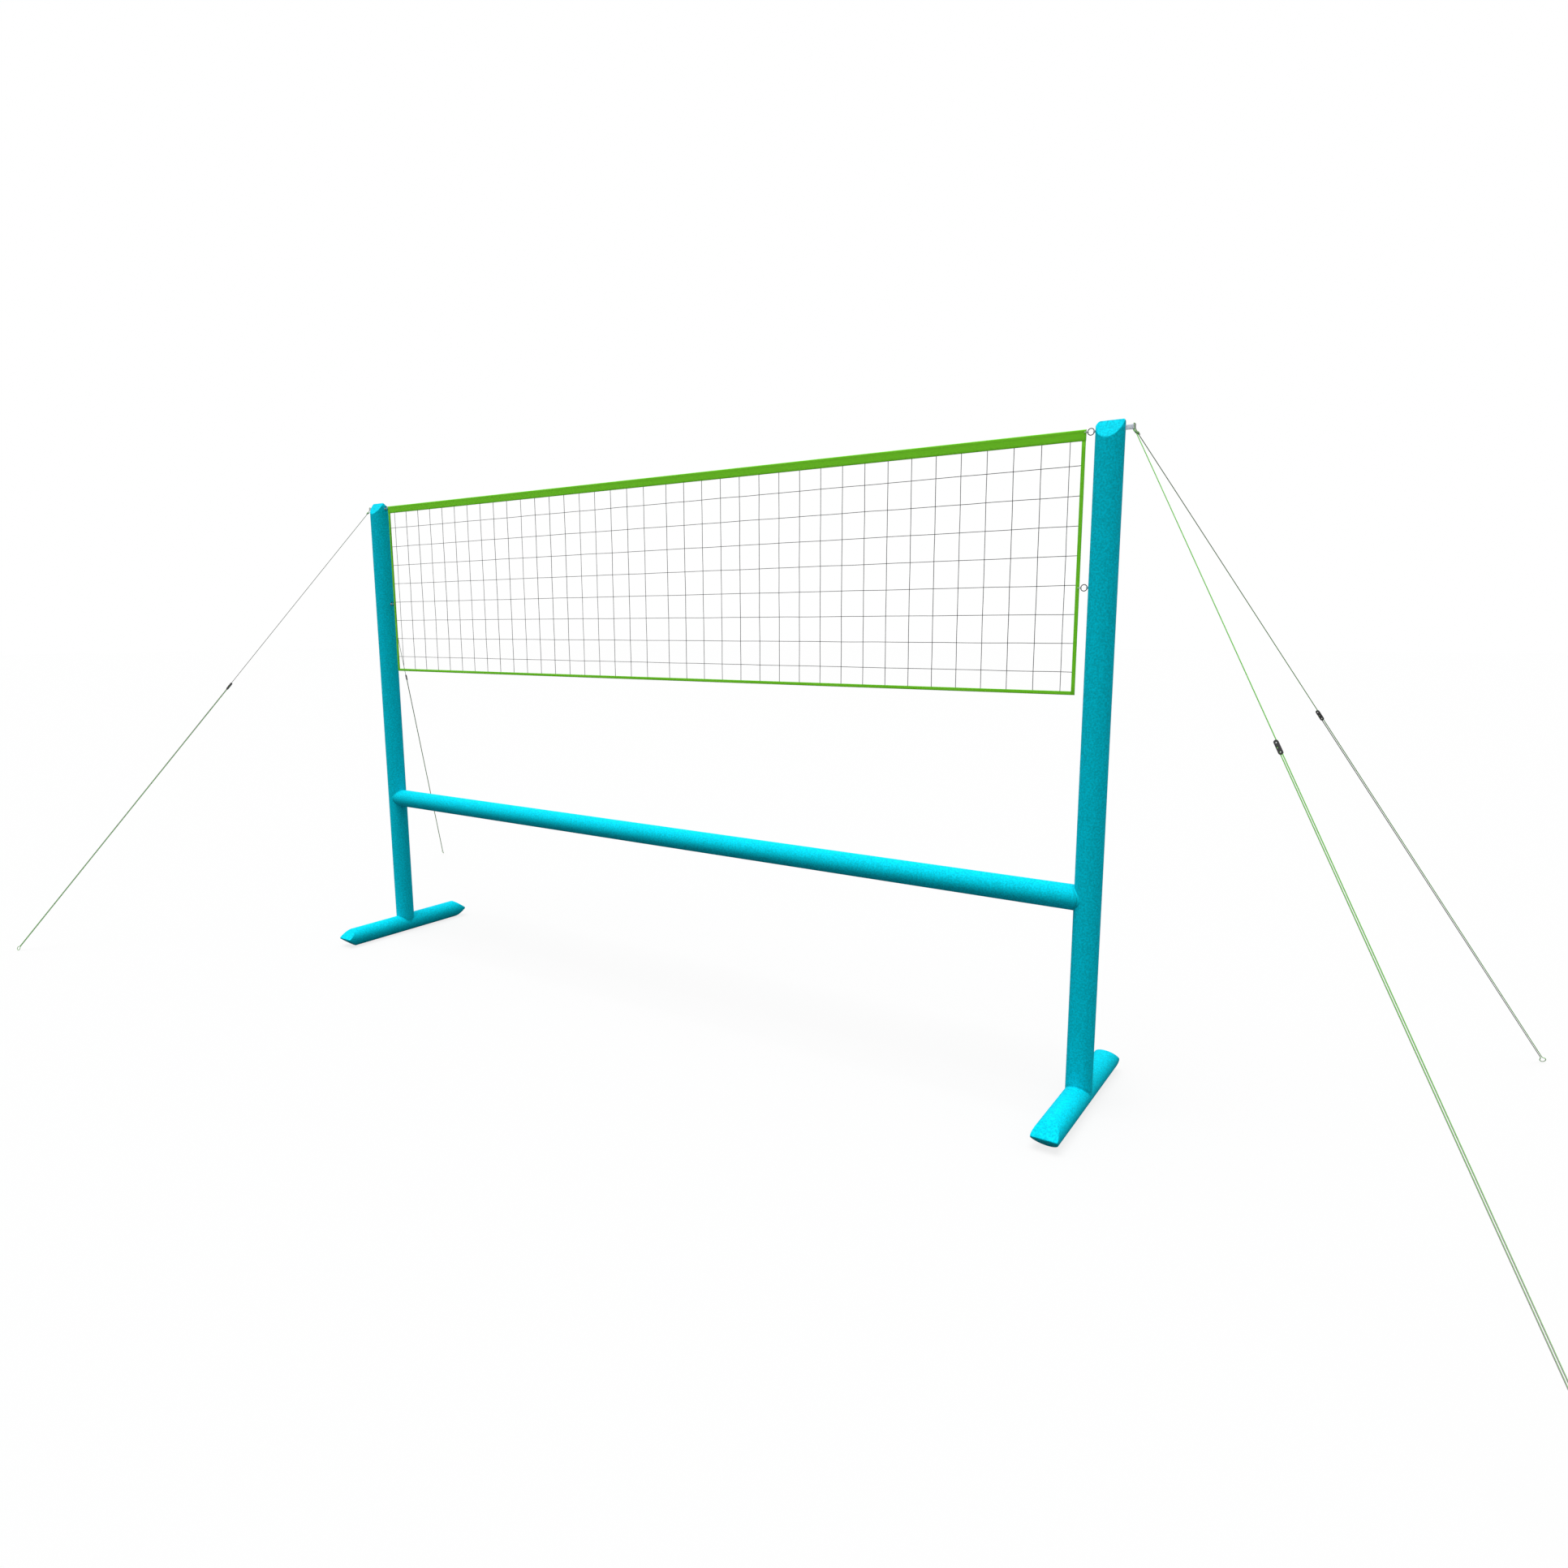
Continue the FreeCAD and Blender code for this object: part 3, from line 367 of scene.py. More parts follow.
def folded_webbing(name, section, stretch, thickness, place):
    """Folds a flat strip along a section; place gives the point of a section at a length."""
    low, high, steps = stretch
    bpy.ops.mesh.primitive_grid_add(x_subdivisions=len(section) - 1, y_subdivisions=steps, size=2)
    strip = bpy.context.object
    strip.name = name
    run = [0.0]
    for here, there in zip(section, section[1:]):
        run.append(run[-1] + math.dist(here, there))
    spots = {}
    for vertex in strip.data.vertices:
        fold = round((vertex.co.x + 1) / 2 * (len(section) - 1))
        length = low + (high - low) * (vertex.co.y + 1) / 2
        spots[vertex.index] = (run[fold], length)
        vertex.co = place(*section[fold], length)
    layer = strip.data.uv_layers[0].data
    for corner in strip.data.loops:
        layer[corner.index].uv = spots[corner.vertex_index]
    body = strip.modifiers.new("thickness", "SOLIDIFY")
    body.thickness = thickness
    body.offset = 0
    bpy.ops.object.modifier_apply(modifier="thickness")
    edge = strip.modifiers.new("soft_edge", "BEVEL")
    edge.width = thickness * 0.22
    edge.segments = 2
    edge.limit_method = "ANGLE"
    edge.angle_limit = math.radians(50)
    bpy.ops.object.modifier_apply(modifier="soft_edge")
    bpy.ops.object.shade_smooth_by_angle(angle=math.radians(40))
    return strip, run[-1]


def webbing_finish(name, dark, light, rib, depth, rows, thread):
    """Woven ribs along a strip, with rows of stitches at set distances from its first edge."""
    cloth = Finish(name, roughness=0.75, specular=0.25)
    across, along = cloth.place("UV")[:2]
    ribs = across.wave(rib)
    picks = along.wave(rib * 0.8)
    weave = ribs * picks
    shade = cloth.noise(260, 3)
    colour = cloth.mix((weave * 0.5 + 0.5) * 0.45 + shade * 0.5, dark, light)
    dashes = along.wave(0.0036).above(-0.55, -0.25)
    stitched = sum(across.near(row, 0.00035, 0.00025) for row in rows) * dashes
    cloth.put({"Base Color": cloth.mix(stitched, colour, thread),
               "Roughness": 0.68 + shade * 0.14})
    cloth.bump(weave * 0.5 + stitched * 1.6, depth)
    return cloth


# Guy tabs. A short pale webbing strap goes round an eye for the two ropes, and both of its tails
# are sewn together and welded to the outer side of the post cover.
pale_webbing = webbing_finish("pale_webbing", (0.84, 0.82, 0.92, 1), (0.95, 0.93, 1.0, 1), 0.0011,
                              0.00012, (0.006, 0.0115, 0.043, 0.0485), (0.72, 0.70, 0.80, 1))
tail = [(0.0493, 0.0009), (0.054, 0.0009), (0.059, 0.0009), (0.064, 0.0009), (0.0688, 0.0011),
        (0.0712, 0.0026)]
section = tail + arc((tab_eye, 0), 0.0046, 135, -135, 16) + [(x, -y) for x, y in reversed(tail)]
for side_name, side in sides:
    tab = folded_webbing(
        f"guy_strap_{side_name}", section, (2.4192, 2.4348, 4), 0.0015,
        lambda x, y, z: (side * (post_x + x), side * y, z))[0]
    pale_webbing.dress(tab)
    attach(tab, "frame")
    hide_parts(f"{side_name}_guy_tab")


# Air tubes. Each is a sleeve of coated teal polyester, sewn to length and closed at its chisel
# ends by two flat facets that meet in a ridge. The blown-up bladder inside pulls it tight and
# round, so only the seams and the cut of the saddles show.
post_radius = 0.0485
post_top = 2.456
bar_radius = 0.0473
bar_height = 0.8
foot_radius = 0.049
foot_axis = 0.0482
foot_reach = 0.394
cover_wall = 0.0012
ridge_half = 0.002
# How much a ridge draws in for each part that its tube is inset.
ridge_shrink = 1.3
# The facets of the chisel ends, by the y and z parts of the way they look.
post_facet = (61, 46.5)
foot_facet = (47, 56)
# Just inside an end of the crossbar, clear of the post's wall.
bar_end = 1.93
saddle_gap = 0.0003
saddle_slack = 0.0002
saddle_seam = 0.0052
hose_hole = 0.0083
valve_hole = 0.0123
valve_height = 0.32
tube_sides = 96
saddle_sides = 192
hole_sides = 48
threads_round = 250


def rod(name, radius, start, stop, corners=tube_sides):
    """A round bar between two points, selected and active."""
    start, stop = Vector(start), Vector(stop)
    bpy.ops.mesh.primitive_cylinder_add(
        vertices=corners, radius=radius, depth=(stop - start).length, location=(start + stop) / 2,
        rotation=(stop - start).to_track_quat("Z", "Y").to_euler())
    bar = bpy.context.object
    bar.name = name
    bpy.ops.object.transform_apply(location=True, rotation=True, scale=True)
    return bar


def slice_off(point, normal):
    """Cuts away all of the open mesh beyond a plane and closes the cut."""
    bpy.ops.mesh.select_all(action="SELECT")
    bpy.ops.mesh.bisect(plane_co=point, plane_no=Vector(normal).normalized(), use_fill=True,
                        clear_outer=True)


def ring_line(piece, point, normal):
    """Adds a ring of edges round a tube, so the shading of its end stays at its end."""
    choose(piece)
    bpy.ops.object.mode_set(mode="EDIT")
    bpy.ops.mesh.select_all(action="SELECT")
    bpy.ops.mesh.bisect(plane_co=point, plane_no=normal)
    bpy.ops.object.mode_set(mode="OBJECT")


def cut_out(piece, radius, start, stop, corners=hole_sides):
    """Takes the space of a round bar out of a piece."""
    bar = rod("cutter", radius, start, stop, corners)
    choose(piece)
    hole = piece.modifiers.new("hole", "BOOLEAN")
    hole.operation = "DIFFERENCE"
    hole.solver = "EXACT"
    hole.object = bar
    bpy.ops.object.modifier_apply(modifier="hole")
    bpy.data.objects.remove(bar)


def soften(piece, width, above=-1.0):
    """Rounds the sharp edges of the open mesh above a height, as the air inside does."""
    bpy.ops.mesh.select_mode(type="EDGE")
    bpy.ops.mesh.select_all(action="DESELECT")
    bpy.ops.mesh.edges_select_sharp(sharpness=math.radians(30))
    bpy.ops.object.mode_set(mode="OBJECT")
    spots = piece.data.vertices
    for edge in piece.data.edges:
        edge.select = edge.select and all(spots[end].co.z > above for end in edge.vertices)
    bpy.ops.object.mode_set(mode="EDIT")
    bpy.ops.mesh.bevel(offset=width, segments=4, profile=0.5, clamp_overlap=False)
    bpy.ops.mesh.select_mode(type="VERT")


def open_saddle(piece, line_point, line_axis, radius):
    """Opens a sleeve where it was cut to fit round another tube."""
    bpy.ops.object.mode_set(mode="EDIT")
    bpy.ops.mesh.select_mode(type="FACE")
    bpy.ops.mesh.select_all(action="DESELECT")
    bpy.ops.object.mode_set(mode="OBJECT")
    line_axis = Vector(line_axis)
    for face in piece.data.polygons:
        spread = [piece.data.vertices[corner].co - Vector(line_point)
                  for corner in face.vertices]
        face.select = all((gap - line_axis * gap.dot(line_axis)).length < radius + saddle_slack
                          for gap in spread)
    bpy.ops.object.mode_set(mode="EDIT")
    bpy.ops.mesh.delete(type="FACE")
    bpy.ops.mesh.select_mode(type="VERT")
    bpy.ops.object.mode_set(mode="OBJECT")


def give_wall(piece, thickness):
    """Thickens the skin of the active piece inward."""
    wall = piece.modifiers.new("wall", "SOLIDIFY")
    wall.thickness = thickness
    wall.offset = -1
    bpy.ops.object.modifier_apply(modifier="wall")
    bpy.ops.object.shade_smooth_by_angle(angle=math.radians(28))


def keep_flats(piece):
    """Lets the large faces set the shading, so that only the rounded edges between them turn."""
    choose(piece)
    weight = piece.modifiers.new("weight", "WEIGHTED_NORMAL")
    weight.keep_sharp = True
    bpy.ops.object.modifier_apply(modifier="weight")


def round_corner(corner, outward, ahead, reach, rise):
    """Rounds a corner of the open mesh by slices that touch an ellipse set in it."""
    outward, ahead = Vector(outward), Vector(ahead)
    middle = Vector(corner) - outward * reach - ahead * rise
    for turn in (15, 35, 55, 75):
        out, on = math.cos(math.radians(turn)), math.sin(math.radians(turn))
        slice_off(middle + outward * reach * out + ahead * rise * on,
                  outward * out / reach + ahead * on / rise)


def shape_post_end(tube, side, inset):
    """Closes a post's tube with two facets that meet in a short flat ridge."""
    x = side * post_x
    radius = post_radius - inset
    crown = post_top - ridge_shrink * inset
    bpy.ops.object.mode_set(mode="EDIT")
    for face in (-1, 1):
        slice_off((x, face * ridge_half, crown), (0, face * post_facet[0], post_facet[1]))
        # The corner on the net's side is the rounder one.
        corner = (0.014, 0.034) if face == -side else (0.006, 0.012)
        round_corner((x + face * radius, 0, crown), (face, 0, 0), (0, 0, 1), *corner)
    soften(tube, 0.0018, above=2.3)
    bpy.ops.object.mode_set(mode="OBJECT")
    for height in (0.12, 2.385, 2.415, 2.4415):
        ring_line(tube, (x, 0, height), (0, 0, 1))


def foot_tube(name, side, inset):
    """A foot's tube, with two facets at each end and a flat underside."""
    x = side * post_x
    radius = foot_radius - inset
    reach = foot_reach - ridge_shrink * inset
    tube = rod(name, radius, (x, -reach, foot_axis), (x, reach, foot_axis))
    bpy.ops.object.mode_set(mode="EDIT")
    for end in (-1, 1):
        for face in (-1, 1):
            slice_off((x, end * reach, foot_axis + face * ridge_half),
                      (0, end * foot_facet[0], face * foot_facet[1]))
            round_corner((x + face * radius, end * reach, foot_axis), (face, 0, 0), (0, end, 0),
                         0.005, 0.006)
    soften(tube, 0.0018)
    slice_off((x, 0, inset), (0, 0, -1))
    bpy.ops.object.mode_set(mode="OBJECT")
    for end in (-1, 1):
        for step in (0.012, 0.035, 0.062):
            ring_line(tube, (x, end * (reach - step), foot_axis), (0, 1, 0))
    return tube


def cover_finish(name, centre, axis, radius, seams):
    """Teal woven cover: fine plain weave, the mottling of its coating, and sewn seams.

    The weave runs round the tube, and straight across the flat facets of its ends."""
    cover = Finish(name, roughness=0.72, specular=0.04)
    order = {"x": (1, 2, 0), "y": (0, 2, 1), "z": (0, 1, 2)}[axis]
    point, facing = cover.place(), cover.facing()
    first, second, along = (point[part] for part in order)
    first_facing, second_facing = (facing[part].size() for part in order[:2])
    first = first - centre[0]
    second = second - centre[1]
    girth = math.tau * radius
    around = second.work("ARCTAN2", second, first) * radius
    pitch = girth / threads_round
    depth = radius - (first * first + second * second).root()
    sidelong = (first_facing - second_facing).above(0, 0.1)
    flat = first + (second - first) * sidelong
    across = around + (flat - around) * depth.above(0.0003, 0.0008)
    weave = across.wave(pitch) * along.wave(pitch)
    fine = cover.noise(420, 3)
    mottle = cover.noise(150, 3)
    speckle = (mottle.above(0.34, 0.66) * 0.55 + fine.above(0.36, 0.64) * 0.27
               + (weave * 0.5 + 0.5) * 0.18)
    colour = cover.mix(speckle, (0.0, 0.45, 0.565, 1), (0.0, 0.79, 1.0, 1))
    height = weave * 0.5 + fine * 0.3
    stitched = 0.0
    for line, travel, reach in seams(first, second, along, around):
        seam = line.near(0, 0.0005, 0.0008) * reach
        rows = line.near(0.0038, 0.0003, 0.0003) + line.near(-0.0038, 0.0003, 0.0003)
        stitched = stitched + rows * travel.wave(0.0042).above(-0.5, -0.2) * reach
        colour = cover.mix(seam * 0.45, colour, (0.0, 0.22, 0.26, 1))
        height = height - seam * 1.5
    colour = cover.mix(stitched * 0.6, colour, (0.0, 0.42, 0.49, 1))
    height = height + stitched * 1.2
    cover.put({"Base Color": colour, "Roughness": 0.66 + fine * 0.14})
    cover.bump(height, 0.00022, 0.8)
    return cover


def post_seams(first, second, along, around):
    """The back seam, the ridge seam and the saddle seam of a post, and where each one runs."""
    yield first + 0.021, along, second.above(0, 0.01)
    yield second, first, along.above(2.42, 2.43)
    rise = along - foot_axis
    yield ((first * first + rise * rise).root() - foot_radius - saddle_seam, around,
           1 - along.above(0.2, 0.3))


def foot_seams(first, second, along, around):
    """The underside seam and the two ridge seams of a foot."""
    yield first, along, 1 - second.above(-0.01, 0)
    yield second, first, along.size().above(0.35, 0.36)


def bar_seams(first, second, along, around):
    """The underside seam and the two saddle seams of the crossbar."""
    yield first, along, 1 - second.above(-0.01, 0)
    gap = post_x - along.size()
    yield ((gap * gap + first * first).root() - post_radius - saddle_seam, around,
           gap.above(0, 0.01))


def cut_bar_hose(piece, side):
    """The hole on the net's side of a post for the hose to the crossbar."""
    cut_out(piece, hose_hole, (side * post_x, 0, bar_height), (side * bar_end, 0, bar_height))


def cut_foot_hose(piece, side):
    """The upright hole in the top of a foot for the hose to its post."""
    cut_out(piece, hose_hole, (side * post_x, 0, foot_axis), (side * post_x, 0, 0.13))


def cut_valve(piece):
    """The hole in the back of the right post for the valve's neck."""
    cut_out(piece, valve_hole, (post_x, 0, valve_height), (post_x, 0.07, valve_height))


for side_name, side in sides:
    x = side * post_x
    sleeve = rod(f"post_sleeve_{side_name}", post_radius, (x, 0, foot_axis), (x, 0, post_top))
    cut_out(sleeve, foot_radius + saddle_gap, (x, -0.07, foot_axis), (x, 0.07, foot_axis),
            saddle_sides)
    shape_post_end(sleeve, side, 0)
    open_saddle(sleeve, (x, 0, foot_axis), (0, 1, 0), foot_radius + saddle_gap)
    give_wall(sleeve, cover_wall)
    cut_bar_hose(sleeve, side)
    if side > 0:
        cut_valve(sleeve)
    keep_flats(sleeve)
    cover_finish(f"teal_post_cover_{side_name}", (x, 0), "z", post_radius,
                 post_seams).dress(sleeve)
    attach(sleeve, "frame")
    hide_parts(f"{side_name}_post_cover")

    foot = foot_tube(f"foot_sleeve_{side_name}", side, 0)
    give_wall(foot, cover_wall)
    cut_foot_hose(foot, side)
    keep_flats(foot)
    cover_finish(f"teal_foot_cover_{side_name}", (x, foot_axis), "y", foot_radius,
                 foot_seams).dress(foot)
    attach(foot, "frame")
    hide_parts(f"{side_name}_foot_cover")

bar = rod("crossbar_sleeve", bar_radius, (-1.99, 0, bar_height), (1.99, 0, bar_height))
for side in (-1, 1):
    ring_line(bar, (side * bar_end, 0, bar_height), (1, 0, 0))
    cut_out(bar, post_radius + saddle_gap, (side * post_x, 0, 0.7), (side * post_x, 0, 0.9),
            saddle_sides)
for side in (-1, 1):
    open_saddle(bar, (side * post_x, 0, bar_height), (0, 0, 1), post_radius + saddle_gap)
give_wall(bar, cover_wall)
cover_finish("teal_crossbar_cover", (0, bar_height), "x", bar_radius, bar_seams).dress(bar)
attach(bar, "frame")
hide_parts("crossbar_cover")


# Bladders and air links. Welded bladders of clear grey film fill the covers, and short black
# hoses pass the air from the feet and the crossbar to the posts.
film_inset = 0.0015
film_wall = 0.0006
film = Finish("bladder_film", roughness=0.22, coat=0.4, specular=0.5)
haze = film.noise(60, 4)
film.put({"Base Color": film.mix(haze, (0.60, 0.63, 0.64, 1), (0.80, 0.83, 0.84, 1)),
          "Roughness": 0.16 + haze * 0.2})
film.bump(film.noise(220, 2), 0.0002, 0.5)
for side_name, side in sides:
    x = side * post_x
    bladder = rod(f"post_air_{side_name}", post_radius - film_inset, (x, 0, 0.0975),
                  (x, 0, post_top - ridge_shrink * film_inset))
    shape_post_end(bladder, side, film_inset)
    give_wall(bladder, film_wall)
    cut_out(bladder, hose_hole, (x, 0, 0.08), (x, 0, 0.12))
    cut_bar_hose(bladder, side)
    if side > 0:
        cut_valve(bladder)
    foot_air = foot_tube(f"foot_air_{side_name}", side, film_inset)
    give_wall(foot_air, film_wall)
    cut_foot_hose(foot_air, side)
    for piece, node in ((bladder, "post_bladder"), (foot_air, "foot_bladder")):
        film.dress(piece)
        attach(piece, "frame")
        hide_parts(f"{side_name}_{node}")
bar_air = rod("crossbar_air", bar_radius - film_inset, (-1.9512, 0, bar_height),
              (1.9512, 0, bar_height))
bpy.ops.object.mode_set(mode="EDIT")
soften(bar_air, 0.003)
bpy.ops.object.mode_set(mode="OBJECT")
give_wall(bar_air, film_wall)
for side in (-1, 1):
    cut_out(bar_air, hose_hole, (side * bar_end, 0, bar_height), (side * 1.97, 0, bar_height))
film.dress(bar_air)
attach(bar_air, "frame")
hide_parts("crossbar_bladder")

hose = Finish("black_air_hose", roughness=0.5, specular=0.4)
hose_grain = hose.noise(900, 3)
hose.put({"Base Color": hose.mix(hose_grain, (0.02, 0.02, 0.02, 1), (0.05, 0.05, 0.05, 1)),
          "Roughness": 0.42 + hose_grain * 0.2})
hose.bump(hose_grain, 0.0001)
for side_name, side in sides:
    hose.dress(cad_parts[f"{side_name}_foot_air_link"],
               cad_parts[f"{side_name}_bar_air_link"])


# Inflation valve. Body, screw-in insert and cap are moulded in dark grey plastic, and the flap
# under the insert's web is soft grey rubber.
moulded = Finish("valve_plastic", roughness=0.4, specular=0.5)
orange_peel = moulded.noise(1500, 3)
rubbed = moulded.noise(200, 4).above(0.5, 0.8)
moulded.put({"Base Color": moulded.mix(rubbed, (0.045, 0.047, 0.052, 1),
                                       (0.085, 0.088, 0.095, 1)),
             "Roughness": 0.34 + orange_peel * 0.18})
moulded.bump(orange_peel, 0.00008)
moulded.dress(*(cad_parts[f"valve_{part}"] for part in ("body", "insert", "cap")))
flap = Finish("valve_rubber", roughness=0.6, specular=0.3)
dust = flap.noise(700, 3)
flap.put({"Base Color": flap.mix(dust, (0.26, 0.26, 0.25, 1), (0.40, 0.40, 0.38, 1)),
          "Roughness": 0.52 + dust * 0.18})
flap.bump(dust, 0.0001)
flap.dress(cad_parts["valve_membrane"])


# Net rings. Four welded steel rings with a dark plating; each hangs in a grey webbing tab that is
# folded round its wire and sewn to the inner side of the post cover.
steel = Finish("dark_plated_steel", roughness=0.3, metallic=1.0)
rub = steel.noise(420, 4).above(0.45, 0.8)
steel.put({"Base Color": steel.mix(rub, (0.010, 0.010, 0.012, 1), (0.04, 0.04, 0.045, 1)),
           "Roughness": 0.34 + steel.noise(1300, 2) * 0.18})
steel.bump(steel.noise(2200, 2), 0.00004)
grey_webbing = webbing_finish("grey_webbing", (0.42, 0.44, 0.47, 1), (0.60, 0.62, 0.66, 1),
                              0.0009, 0.00016, (0.0017, 0.0158), (0.7, 0.7, 0.72, 1))
levels = (("top", 2.425), ("mid", 1.906))
wire_x = 1.946
ring_tab_half = 0.0038
tail = [(1.9510, 0.0009), (1.9495, 0.0010), (1.9483, 0.0013)]
section = tail + arc((wire_x, 0), 0.0026, 36, 324, 18) + [(x, -y) for x, y in reversed(tail)]
for side_name, side in sides:
    for level, height in levels:
        steel.dress(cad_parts[f"{side_name}_{level}_ring"])
        tab = folded_webbing(
            f"ring_strap_{side_name}_{level}", section,
            (height - ring_tab_half, height + ring_tab_half, 3), 0.0014,
            lambda x, y, z: (side * x, side * y, z))[0]
        grey_webbing.dress(tab)
        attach(tab, "frame")
        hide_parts(f"{side_name}_{level}_ring_tab")


# Net ties. Thin white cord goes twice through the hole in the net's edge and round the ring's
# wire, and its ends are tucked back under the turns.
tie_braid = Finish("tie_cord", roughness=0.7, specular=0.3)
along, around = tie_braid.place("UV")[:2]
tie_yarns = (along * 420 + around * 3).wave(1) * (along * 420 - around * 3).wave(1)
tie_fibre = tie_braid.noise(2400)
tie_braid.put({"Base Color": tie_braid.mix(tie_fibre * 0.6 + tie_yarns.size() * 0.4,
                                           (0.62, 0.62, 0.60, 1), (0.90, 0.90, 0.88, 1))})
tie_braid.bump(tie_yarns.size(), 0.00016)
tie_radius = 0.00065
tie_lift = 0.0007
tie_half = 0.0058
tie_end = 0.0064
tie_near, tie_far = 1.9129, 1.9266
for side_name, side in sides:
    for level, height in levels:
        turns = [(side * 1.9215, -tie_end, height - tie_lift)]
        for turn in (-1, 1):
            lift = height + turn * tie_lift
            turns += [(side * tie_near, -tie_half, lift), (side * tie_near, tie_half, lift),
                      (side * tie_far, tie_half, lift), (side * tie_far, -tie_half, lift)]
        turns.append((side * 1.9180, -tie_end, height + tie_lift))
        lashing = rope_route(f"net_lashing_{side_name}_{level}", turns)
        rope_tube(lashing, tie_radius, 0)
        tie_braid.dress(lashing)
        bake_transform(lashing)
        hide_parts("net_ties")


# Net. Grey polyester strings, 100 mm apart both ways, drawn tight between the bands. They cross
# in small fused joints, and wander by half a millimetre as real ones do.
columns = sorted(side * (0.066 + 0.1 * step) for step in range(19) for side in (-1, 1))
rows = [2.317 - 0.1004 * step for step in range(8)]
net_edge, net_low, net_high = 1.9095, 1.5425, 2.4085
joint_half = 0.004
joint_radius = 0.0021
joint_flatness = 0.72
string_radius = 0.00125
weave_depth = 0.0005
sway_reach = 0.0005
shift_reach = 0.0006
net_curve = bpy.data.curves.new("net_strings", "CURVE")
net_curve.dimensions = "3D"


def wander(first, second):
    """A small steady shift of the net at a place, the same on every run."""
    return math.sin(first * 7.3 + second * 2.9) * 0.6 + math.sin(first * 2.1 - second * 5.7) * 0.4


def crossing(x, z):
    """Where the strings of a column and a row cross."""
    return (x + shift_reach * wander(x * 9, z * 3), z + shift_reach * wander(z * 11, x * 4))


def net_string(points):
    """Adds one string to the net."""
    string = net_curve.splines.new("NURBS")
    string.points.add(len(points) - 1)
    for knot, point in zip(string.points, points):
        knot.co = (*point, 1)
    string.order_u = 3
    string.use_endpoint_u = True
    string.resolution_u = 3


for index, x in enumerate(columns):
    points = [(x, 0, net_high)]
    for step, z in enumerate(rows):
        cross_x, cross_z = crossing(x, z)
        weave = weave_depth * (-1) ** (index + step)
        points += [(cross_x, weave, cross_z + joint_half), (cross_x, weave, cross_z - joint_half)]
        if step < len(rows) - 1:
            lower_x, lower_z = crossing(x, rows[step + 1])
            sway = sway_reach * wander(x * 17, z * 13)
            points.append(((cross_x + lower_x) / 2 + sway, 0, (cross_z + lower_z) / 2))
    points.append((x, 0, net_low))
    net_string(points)
for step, z in enumerate(rows):
    points = [(-net_edge, 0, z)]
    for index, x in enumerate(columns):
        cross_x, cross_z = crossing(x, z)
        weave = -weave_depth * (-1) ** (index + step)
        points += [(cross_x - joint_half, weave, cross_z), (cross_x + joint_half, weave, cross_z)]
        if index < len(columns) - 1:
            next_x, next_z = crossing(columns[index + 1], z)
            sway = sway_reach * wander(z * 19, x * 7)
            points.append(((cross_x + next_x) / 2, 0, (cross_z + next_z) / 2 + sway))
    points.append((net_edge, 0, z))
    net_string(points)
for border in (net_low, net_high):
    net_string([(-net_edge, 0, border), (net_edge, 0, border)])
for border in (-net_edge, net_edge):
    net_string([(border, 0, net_low), (border, 0, net_high)])
net_curve.bevel_depth = string_radius
net_curve.bevel_resolution = 1
net_curve.use_fill_caps = True
net = bpy.data.objects.new("net_strings", net_curve)
bpy.context.collection.objects.link(net)
choose(net)
bpy.ops.object.convert(target="MESH")
net = bpy.context.object
bpy.ops.mesh.primitive_ico_sphere_add(subdivisions=1, radius=joint_radius)
joint = bpy.context.object
joint.scale = (1, joint_flatness, 1)
bpy.ops.object.transform_apply(scale=True)
joints = []
for x in columns:
    for z in rows:
        cross_x, cross_z = crossing(x, z)
        fused = bpy.data.objects.new("fused_joint", joint.data.copy())
        fused.data.transform(Matrix.Translation((cross_x, 0, cross_z)))
        bpy.context.collection.objects.link(fused)
        joints.append(fused)
bpy.data.objects.remove(joint)
choose(net)
for fused in joints:
    fused.select_set(True)
bpy.ops.object.join()
bpy.ops.object.shade_smooth()
string_finish = Finish("net_string", roughness=0.7, specular=0.3)
x, y, z = string_finish.place()
lay = (x + z + y * 2).wave(0.0035)
string_fibre = string_finish.noise(900, 2)
string_shade = string_fibre * 0.6 + (lay * 0.5 + 0.5) * 0.4
string_finish.put({"Base Color": string_finish.mix(string_shade, (0.045, 0.047, 0.05, 1),
                                                   (0.13, 0.134, 0.138, 1))})
string_finish.bump(lay, 0.0002)
string_finish.dress(net)
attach(net, "frame")
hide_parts("net_mesh")


# Bands. Green polyester webbing: a wide one folded over the top of the net with the headline cord
# in its fold, and narrow tapes folded round the sides and along the foot of the net. All are
# sewn through near their edges.
green_dark = (0.19, 0.70, 0.014, 1)
green_light = (0.215, 0.78, 0.017, 1)
green_thread = (0.165, 0.62, 0.012, 1)
net_half = 1.919
front = [(-0.00235, 2.3976), (-0.00235, 2.404), (-0.00235, 2.412), (-0.0024, 2.420),
         (-0.0025, 2.4255), (-0.0027, 2.4285)]
section = front + arc((0, 2.4313), 0.0026, 180, 0, 12) + [(-y, z) for y, z in reversed(front)]
band, run = folded_webbing("head_band", section, (-net_half, net_half, 64), 0.0016,
                           lambda y, z, x: (x, y, z))
band_finish = webbing_finish("green_band", green_dark, green_light, 0.0012, 0.00014,
                             (0.004, 0.0075, 0.0265, run - 0.0265, run - 0.0075, run - 0.004),
                             green_thread)
band_finish.dress(band)
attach(band, "frame")
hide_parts("top_band")


tape_wall = 0.0012
tape_bend = 0.0019


def tape_section(inner, outer):
    """A narrow tape folded round an edge, from its inner border out and back."""
    step = (outer - inner) / abs(outer - inner)
    side_run = [(inner + step * part, -tape_bend) for part in (0, 0.004, 0.008)]
    bend = outer - step * 0.0025
    facing = 0 if step > 0 else 180
    turn = arc((bend, 0), tape_bend, facing - 90 * step, facing + 90 * step, 8)
    return side_run + turn + [(x, -y) for x, y in reversed(side_run)]


